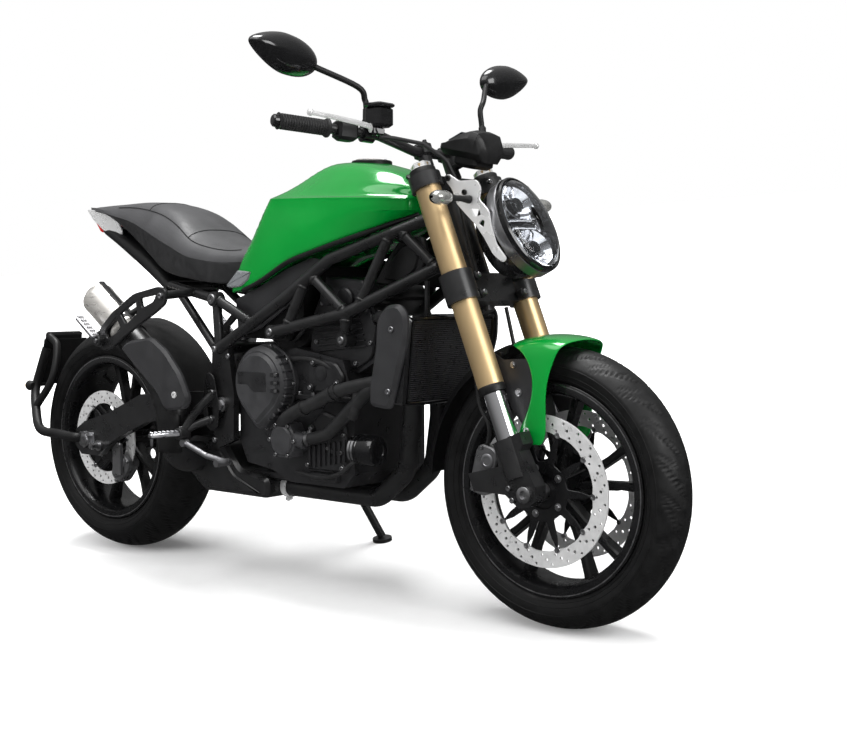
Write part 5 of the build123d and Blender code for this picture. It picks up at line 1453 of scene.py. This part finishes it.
HOSES = [
    (14, 20, 8, [(284, -88, 655), (326, -108, 660), (370, -118, 650), (404, -119, 633)]),
    (16, 20, 6, [
        (40, -150, 398), (70, -166, 420), (112, -166, 442), (160, -164, 460), (222, -160, 488),
        (300, -150, 508), (372, -140, 520),
    ]),
    (11, 16, 6, [(266, -150, 432), (276, -152, 450), (282, -150, 484), (290, -146, 505)]),
    (7, 12, 6, [(60, -132, 560), (120, -136, 560), (170, -128, 545), (206, -124, 520), (214, -128, 480)]),
    (4.5, 10, 6, [(300, -60, 690), (262, -112, 690), (180, -116, 668), (96, -112, 640), (40, -104, 600)]),
    (5, 10, 6, [(246, -96, 320), (262, -140, 330), (222, -150, 300), (150, -140, 286), (70, -136, 292)]),
]
for radius, segments, steps, route in HOSES:
    tube(hoses, smooth_path(route, steps), radius, segments)
for place, way in (
    ((126, -166, 447), (0.95, 0, 0.4)), ((214, -161, 484), (0.9, 0, 0.4)), ((228, -160, 490), (0.9, 0, 0.4)),
):
    turned_ring(hoses, place, way, [(-5, 18), (5, 18), (5, 15.5), (-5, 15.5)], 28)
make(clips, "hose_clips", "chassis", steel)
make(hoses, "engine_hoses", "chassis", hose_rubber)

RADIATOR_LOW = Vector((406, 0, 470))
RADIATOR_HIGH = Vector((426, 0, 662))
RADIATOR_UP = (RADIATOR_HIGH - RADIATOR_LOW).normalized()
RADIATOR_OUT = Vector((RADIATOR_UP.z, 0, -RADIATOR_UP.x))
FIN_ROWS = 40
height = (RADIATOR_HIGH - RADIATOR_LOW).length
fins, core = Shape(), Shape()
for row in range(FIN_ROWS):
    place = RADIATOR_LOW + RADIATOR_UP * (9 + row * (height - 18) / (FIN_ROWS - 1)) + RADIATOR_OUT * 16.5
    block(fins, place, (276, 4, 1.8), 0.5, LEFT, RADIATOR_UP)
for side in (-1, 1):
    place = RADIATOR_LOW + RADIATOR_UP * height / 2 + LEFT * side * 149 + RADIATOR_OUT * 2
    block(core, place, (height + 2, 18, 36), 6, RADIATOR_UP, RADIATOR_OUT)
for end in (2, height - 2):
    place = RADIATOR_LOW + RADIATOR_UP * end + RADIATOR_OUT * 3
    block(core, place, (300, 34, 10), 3, LEFT, RADIATOR_UP)
lathe(core, RADIATOR_HIGH + Vector((0, 120, 0)), RADIATOR_UP, [(0, 20), (8, 20), (10, 17), (12, 8)], 28)
make(fins, "radiator_fins", "chassis", fin_black)
make(core, "radiator_tanks", "chassis", plastic_gloss)

shrouds, shroud_screws = Shape(), Shape()
shroud = rounded([
    (334, 464), (334, 507), (352, 588), (356, 654), (384, 686), (423, 690), (444, 666), (442, 610),
    (396, 458),
], 14)
for side in (-1, 1):
    plane = side_plane(side)
    panel(shrouds, shroud, 158.3, 172, 8, plane)
    for u, v in ((394, 498), (404, 634)):
        socket_bolt(shroud_screws, (u, side * 171.5, v), (0, side, 0), 7, 4)
make(shrouds, "radiator_shrouds", "chassis", plastic_grey, ["radiator_shrouds"])
make(shroud_screws, "shroud_screws", "chassis", silver)

# Exhaust: collector box, clamps, brushed silencer, heat shield and guard plate

box = Shape()
box_edge = rounded([
    (-50, 212), (-290, 212), (-350, 258), (-366, 326), (-332, 350), (-205, 342), (-150, 276), (-50, 262),
], 16)
box_field = rounded([(-70, 222), (-280, 222), (-330, 262), (-340, 310), (-220, 320), (-170, 262)], 14)
panel(box, box_edge, -86, 115, 9)
panel(box, box_field, 113, 119, 4)
make(box, "exhaust_box", "chassis", frame_black, ["exhaust_box"])
HEADER_Y = 48
PORT_WAY = (80, 0, -14)
bands = Shape()
for side in (-1, 1):
    y = side * HEADER_Y
    turned_ring(bands, (-40, y, 237), FORWARD, [(-8, 27), (8, 27), (9, 25), (8, 23.5), (-8, 23.5)], 40)
    block(bands, (-40, y, 208), (12, 10, 10), 2)
    bolt(bands, (-40, y + side * 6, 207), (0, side, 0), 5, 6)
    lathe(bands, (303, y, 590), PORT_WAY, [(0, 34), (7, 34), (8, 32), (8, 25)], 32)
    for turn in (radians(60), radians(240)):
        bolt(bands, (311, y + 28 * cos(turn), 589 + 28 * sin(turn)), PORT_WAY, 5, 7)
make(bands, "exhaust_clamps", "chassis", bright_metal)

PIPE_START, PIPE_END = Vector((-518, -164, 610)), Vector((-668, -150, 704))
PIPE_RUN = (PIPE_END - PIPE_START).normalized()
PIPE_UP = PIPE_RUN.cross(RIGHT).normalized()
length = (PIPE_END - PIPE_START).length
muffler, strap, outlet = Shape(), Shape(), Shape()
lathe(muffler, PIPE_START, PIPE_RUN, [
    (0, 36), (4, 41), (9, 43.5), (12, 44), (length - 16, 44), (length - 14, 44.6), (length - 4, 44.6),
    (length, 43), (length + 6, 38), (length + 8, 33), (length + 14, 32), (length + 14, 27), (length - 30, 26),
], 72)
lathe(outlet, PIPE_START + PIPE_RUN * (length - 28), PIPE_RUN, [(0, 25.8), (1, 25.8)], 40)
place = PIPE_START + PIPE_RUN * (length / 2 + 6) + PIPE_UP * 44
block(strap, place, (length + 8, 17, 7), 2.5, PIPE_RUN, PIPE_UP)
turned_ring(
    strap, PIPE_START + PIPE_RUN * 24, PIPE_RUN, [(-6, 45.5), (6, 45.5), (6, 43.8), (-6, 43.8)], 56
)
turned_ring(strap, PIPE_START - PIPE_RUN * 14, PIPE_RUN, [(-8, 41.5), (8, 41.5), (8, 38), (-8, 38)], 48)
tab = PIPE_START + PIPE_RUN * 24 + PIPE_UP * 44
tube(strap, [tab, tab - PIPE_RUN * 4 + PIPE_UP * 22 + LEFT * 20], 8, 14)
make(muffler, "silencer", "chassis", brushed, ["silencer"])
make(outlet, "silencer_bore", "chassis", engine_black)
make(strap, "silencer_strap", "chassis", plastic_black)
SHIELD_TURNS = [radians(-75 + 12.5 * step) for step in range(13)]
shield = Shape()
shield_line = smooth_path(
    [(-304, -192, 318), (-306, -192, 400), (-330, -190, 462), (-380, -184, 520), (-424, -178, 552)], 6
)
points = []
last = len(shield_line) - 1
for index, place in enumerate(shield_line):
    way = (shield_line[min(index + 1, last)] - shield_line[max(index - 1, 0)]).normalized()
    outward = (RIGHT - way * RIGHT.dot(way)).normalized()
    over = way.cross(outward)
    swell = 41.5 + (2.2 if index % 4 == 2 else 0.0)
    for turn in SHIELD_TURNS:
        points.append(place + (outward * cos(turn) + over * sin(turn)) * swell)
shield.add(points, grid_faces(len(shield_line), len(SHIELD_TURNS)))
make(shield, "heat_shield", "chassis", plastic_black, thick=1.5)
guard, guard_screws = Shape(), Shape()
guard_edge = rounded([
    (-462, 575), (-424, 595), (-336, 606), (-280, 573), (-228, 519), (-194, 457), (-212, 432), (-288, 424),
    (-318, 467), (-362, 499),
], 16)
panel(guard, guard_edge, 226, 240, 7)
socket_bolt(guard_screws, (-244, -239, 466), RIGHT, 8, 5)
make(guard, "pipe_guard", "chassis", plastic_grey)
make(guard_screws, "guard_screws", "chassis", bright_metal)

# Foot pegs and hangers, passenger brackets, plate holder, rear brake, chain adjusters

def serrated(shape, root, tip, width, height, teeth):
    """A foot peg: a tapered bar with a row of teeth on its top."""
    root, tip = Vector(root), Vector(tip)
    run = (tip - root).normalized()
    length = (tip - root).length
    block(shape, root + run * length / 2, (length, width, height), 2.5, run)
    for tooth in range(teeth):
        at = 6 + (length - 12) * tooth / (teeth - 1)
        for across in (-1, 0, 1):
            spot = root + run * at + run.cross(UP) * across * width * 0.32 + UP * (height / 2 + 1.6)
            block(shape, spot, (length / teeth * 0.55, width * 0.24, 4.4), 1.2, run)


pegs, hangers, plates = Shape(), Shape(), Shape()
for side in (-1, 1):
    root, tip = Vector((-235, side * 226, 370)), Vector((-266, side * 302, 368))
    serrated(pegs, root + (tip - root) * 0.1, tip, width=24, height=11, teeth=7)
    lathe(
        pegs, tip - (tip - root).normalized() * 6 + Vector((0, 0, -8)), (0, 0, -1),
        [(0, 4), (16, 3.5), (18, 2)], 12
    )
    for foot in ((-194, 158, 404), (-186, 160, 470)):
        start = Vector((foot[0], side * foot[1], foot[2]))
        line = smooth_path([start, start + (root - start) * 0.5 + Vector((-6, side * 4, 2)), root], 6)
        tube(hangers, line, [11 - 2.5 * i / (len(line) - 1) for i in range(len(line))], 16, 0.8)
        socket_bolt(plates, start + Vector((0, side * 9, 0)), (0, side, 0), 7, 5)
    lathe(hangers, root - LEFT * side * 14, LEFT * side, [(0, 13), (2, 15), (26, 15), (28, 13)], 28)
    lathe(plates, root + Vector((0, side * 3, 12)), UP, [(0, 5), (5, 5), (6, 4)], 14)
make(pegs, "footpegs", "chassis", silver, ["footpegs"])
make(hangers, "peg_hangers", "chassis", frame_black)

guards = rounded(
    [(-210, 520), (-186, 512), (-168, 440), (-172, 386), (-196, 372), (-222, 392), (-226, 450)], 12
)
slots = [
    rounded([(-212, 480), (-192, 478), (-188, 452), (-210, 452)], 6),
    rounded([(-212, 434), (-188, 434), (-190, 404), (-206, 402)], 6)
]
flat_cut(
    "heel_guards", "chassis", frame_black, (0, 0, 0), 164, [guards] + slots, 4.0, 0.8,
    mirrored=True
)

bracket = rounded([
    (-300, 722), (-330, 730), (-430, 712), (-520, 664), (-572, 622), (-584, 586), (-560, 566),
    (-522, 576), (-470, 606), (-404, 640), (-344, 668), (-306, 690),
], 12)
windows = [
    rounded([(-336, 714), (-404, 704), (-396, 676), (-350, 692)], 8),
    rounded([(-420, 698), (-488, 664), (-462, 634), (-414, 664)], 9),
    rounded([(-502, 656), (-552, 618), (-540, 594), (-480, 622)], 9),
]
flat_cut(
    "passenger_brackets", "chassis", frame_black, (0, 0, 0), 212, [bracket] + windows,
    10.0, 2.0, ["passenger_hangers"], True
)
arms, folded = Shape(), Shape()
for side in (-1, 1):
    tube(arms, [(-310, side * 118, 716), (-340, side * 208, 706)], 9, 16)
    tube(arms, [(-312, side * 118, 718), (-314, side * 208, 712)], 9, 16)
    socket_bolt(plates, (-320, side * 217, 708), (0, side, 0), 8, 5)
    lathe(arms, (-562, side * 200, 592), (0, side, 0), [(0, 13), (2, 15), (34, 15), (36, 13)], 28)
    serrated(folded, (-566, side * 234, 600), (-628, side * 240, 652), width=26, height=11, teeth=6)
    socket_bolt(plates, (-562, side * 236, 592), (0, side, 0), 6, 4)
make(arms, "passenger_arms", "chassis", frame_black)
make(folded, "passenger_pegs", "chassis", silver)

arm, lamps = Shape(), Shape()
start = REAR_AXLE + Vector((-34, -146, 4))
route = [
    start, start + Vector((0, -18, 0)), (-840, -166, 324), (-930, -164, 332), (-1010, -124, 384),
    (-1058, -92, 436), (-1048, -78, 500), (-1030, -70, 556)
]
tube(arm, smooth_path(route, 6), 13, 16)
brace = [(-1012, -124, 386), (-962, -100, 470), (-978, -70, 560), (-1024, -62, 590)]
tube(arm, smooth_path(brace, 8), 11, 14)
block(arm, (-1046, -4, 516), (140, 148, 6), 2.5, (0.24, 0, 0.97), (0.97, 0, -0.24))
block(arm, (-1038, -4, 590), (26, 120, 22), 6, (0.24, 0, 0.97), (0.97, 0, -0.24))
for y in (-1, 1):
    tube(arm, [(-1056, y * 60, 450), (-1066, y * 96, 446)], 6, 12)
    lathe(arm, (-1052, y * 104, 447), (-1, 0, 0), [(0, 9), (8, 14), (18, 15), (20, 13)], 24)
    lathe(lamps, (-1070, y * 104, 447), (-1, 0, 0), [(0, 13.5), (4, 13), (8, 9), (9, 3)], 24)
make(arm, "plate_holder", "chassis", plastic_black, ["plate_holder"])
make(lamps, "rear_indicators", "chassis", amber)

bodies, caps, rear_screws = Shape(), Shape(), Shape()
caliper_body(
    bodies, caps, rear_screws, -1, REAR_AXLE, angle=-42, y=88, radius=130, length=82, depth=46, width=40
)
block(bodies, REAR_AXLE + Vector((88, -114.5, -52)), (34, 13, 90), 3)
make(bodies, "rear_brake", "chassis", caliper_grey, ["rear_brake"])
make(caps, "rear_caliper_caps", "chassis", silver)

adjusters = Shape()
for side in (-1, 1):
    block(adjusters, REAR_AXLE + Vector((-4, side * 147, 0)), (64, 5, 40), 2)
    bolt(rear_screws, REAR_AXLE + Vector((-60, side * 134, 2)), (-1, 0, 0), 7, 12)
    lathe(
        rear_screws, REAR_AXLE + Vector((0, side * 149, 0)), (0, side, 0),
        [(0, 19), (4, 19), (5, 17), (14, 17), (15, 14), (15, 9)], 6
    )
    bolt(rear_screws, Vector((-170, side * 158, 440)), (0, side, 0), 14, 7)
    for x, y, z, r in (
        (18, 166, 622, 9), (223, 138, 606, 9), (-198, 156, 700, 13), (-182, 164, 577, 8),
        (-146, 151, 560, 7), (-200, 151, 350, 7)
    ):
        lathe(
            rear_screws, (x, side * y, z), (0, side, 0),
            [(-1, r), (3, r), (4.5, r - 1.5), (4.5, r * 0.45), (2, r * 0.4)], 28
        )
make(adjusters, "chain_adjusters", "chassis", silver)
make(rear_screws, "chassis_screws", "chassis", steel)
make(plates, "peg_screws", "chassis", steel)

# Frame: weld beads where the tubes meet

beads = Shape()
JOINTS = [
    ((406, -60, 874), (343, -92, 848)), ((356, -86, 852), (440, -62, 768)),
    ((440, -62, 768), (356, -86, 852)), ((335, -95, 845), (262, -122, 684)),
    ((262, -122, 684), (335, -95, 845)), ((128, -138, 755), (233, -132, 668)),
    ((233, -132, 668), (128, -138, 755)), ((112, -140, 744), (60, -152, 632)),
    ((60, -152, 632), (112, -140, 744)), ((233, -132, 668), (223, -126, 606)),
    ((-60, -150, 642), (-198, -140, 700)), ((-198, -140, 700), (-60, -150, 642)),
]
BEAD_STEPS = 36
for start, end in JOINTS:
    for side in (-1, 1):
        place = Vector((start[0], -side * start[1], start[2]))
        way = Vector((end[0], -side * end[1], end[2])) - place
        way.normalize()
        first, second = frame_of(way)
        points = []
        for step, turn in enumerate(turns(BEAD_STEPS)):
            out = first * cos(turn) + second * sin(turn)
            swell = 1.0 + 0.5 * (step % 2)
            for along, radius in ((12.5, 12.4), (14.5, 13.2 + swell), (18, 13.0 + swell), (20.5, 12.2)):
                points.append(place + way * along + out * radius)
        beads.add(points, grid_faces(BEAD_STEPS, 4, round_rows=True))
make(beads, "weld_beads", "chassis", frame_black, soft=60)

# Camera at the photograph's place, lights, floor

CAMERA_AT = Vector((2238, -2271, 710))
YAW, PITCH, ROLL = radians(129.72), radians(-3.68), radians(-0.22)
FOCAL_PIXELS = 1286.9
WIDTH_PIXELS = 847
SENSOR_WIDTH = 36
FLOOR_RADIUS = 12.0
FLOOR_STEPS = 96
LIFT_NEAR, LIFT_FAR = 0.06, 0.9      # the floor's own brightness towards the camera, so that it reads white
LIFT_FROM, LIFT_TO = 0.6, 2.6        # metres from the middle over which it grows
SKY_LOW, SKY_HIGH = 0.06, 0.5        # the sky's strength below the horizon and overhead

forward = Vector((cos(PITCH) * cos(YAW), cos(PITCH) * sin(YAW), sin(PITCH)))
level = forward.cross(UP).normalized()
above = level.cross(forward)
right = level * cos(ROLL) + above * sin(ROLL)
up = above * cos(ROLL) - level * sin(ROLL)

lens = bpy.data.cameras.new("camera")
lens.sensor_width = SENSOR_WIDTH
lens.sensor_fit = "HORIZONTAL"
lens.lens = FOCAL_PIXELS / WIDTH_PIXELS * SENSOR_WIDTH
camera = new_object("camera", lens)
turn = BIKE.to_3x3().normalized()
axes = Matrix((turn @ right, turn @ up, turn @ -forward)).transposed()
camera.matrix_world = Matrix.Translation(BIKE @ CAMERA_AT) @ axes.to_4x4()
bpy.context.scene.camera = camera


def area_light(name, place, target, size, power, mirrored=True):
    """A soft box that points at a target."""
    data = bpy.data.lights.new(name, "AREA")
    data.shape = "RECTANGLE"
    data.size, data.size_y = size
    data.energy = power
    thing = new_object(name, data)
    thing.visible_glossy = mirrored
    way = Vector(target) - Vector(place)
    thing.matrix_world = Matrix.Translation(place) @ way.to_track_quat("-Z", "Y").to_matrix().to_4x4()


area_light("key", (0.4, -1.6, 4.0), (0, 0, 0.6), size=(3.6, 2.4), power=70)
area_light("side", (-2.6, -3.2, 2.2), (0, 0, 0.6), size=(2.4, 2.0), power=90, mirrored=False)
area_light("front", (3.8, -0.2, 2.0), (0, 0, 0.7), size=(2.0, 2.2), power=75)

sun = bpy.data.lights.new("soft_sun", "SUN")
sun.energy = 2.7
sun.angle = radians(28)
sun_thing = new_object("soft_sun", sun)
sun_thing.rotation_euler = (radians(-14), radians(-8), 0)

world = bpy.data.worlds.new("studio")
bpy.context.scene.world = world
world.use_nodes = True
sky = world.node_tree
background = sky.nodes["Background"]
background.inputs["Color"].default_value = WHITE
towards = sky.nodes.new("ShaderNodeTexCoord")
split = sky.nodes.new("ShaderNodeSeparateXYZ")
sky.links.new(towards.outputs["Generated"], split.inputs["Vector"])
strength = map_range(sky, split.outputs["Z"], -0.1, 0.9, SKY_LOW, SKY_HIGH)
sky.links.new(strength, background.inputs["Strength"])
seen = sky.nodes.new("ShaderNodeBackground")
seen.inputs["Color"].default_value = WHITE
seen.inputs["Strength"].default_value = 1.0
pick = sky.nodes.new("ShaderNodeMixShader")
path = sky.nodes.new("ShaderNodeLightPath")
sky.links.new(path.outputs["Is Camera Ray"], pick.inputs["Fac"])
sky.links.new(background.outputs["Background"], pick.inputs[1])
sky.links.new(seen.outputs["Background"], pick.inputs[2])
sky.links.new(pick.outputs["Shader"], sky.nodes["World Output"].inputs["Surface"])

floor_mesh = bpy.data.meshes.new("floor")
rim = [(x, y, 0) for x, y in circle(FLOOR_RADIUS, FLOOR_STEPS)]
floor_mesh.from_pydata(rim, [], [tuple(range(FLOOR_STEPS))])
floor = new_object("floor", floor_mesh)
floor_paint = surface("floor", (0.93, 0.93, 0.93), 0.8, vary=0.01)
paint = floor_paint.node_tree
floor_shader = paint.nodes["Principled BSDF"]
floor_shader.inputs["Emission Color"].default_value = WHITE
floor_path = paint.nodes.new("ShaderNodeLightPath")
away = paint.nodes.new("ShaderNodeTexCoord")
distance = paint.nodes.new("ShaderNodeVectorMath")
distance.operation = "LENGTH"
shown = paint.nodes.new("ShaderNodeMath")
shown.operation = "MULTIPLY"
paint.links.new(away.outputs["Object"], distance.inputs[0])
lift = map_range(paint, distance.outputs["Value"], LIFT_FROM, LIFT_TO, LIFT_NEAR, LIFT_FAR)
paint.links.new(lift, shown.inputs[0])
paint.links.new(floor_path.outputs["Is Camera Ray"], shown.inputs[1])
paint.links.new(shown.outputs["Value"], floor_shader.inputs["Emission Strength"])
floor.visible_glossy = False
floor.data.materials.append(floor_paint)

bpy.context.scene.view_settings.view_transform = "Standard"
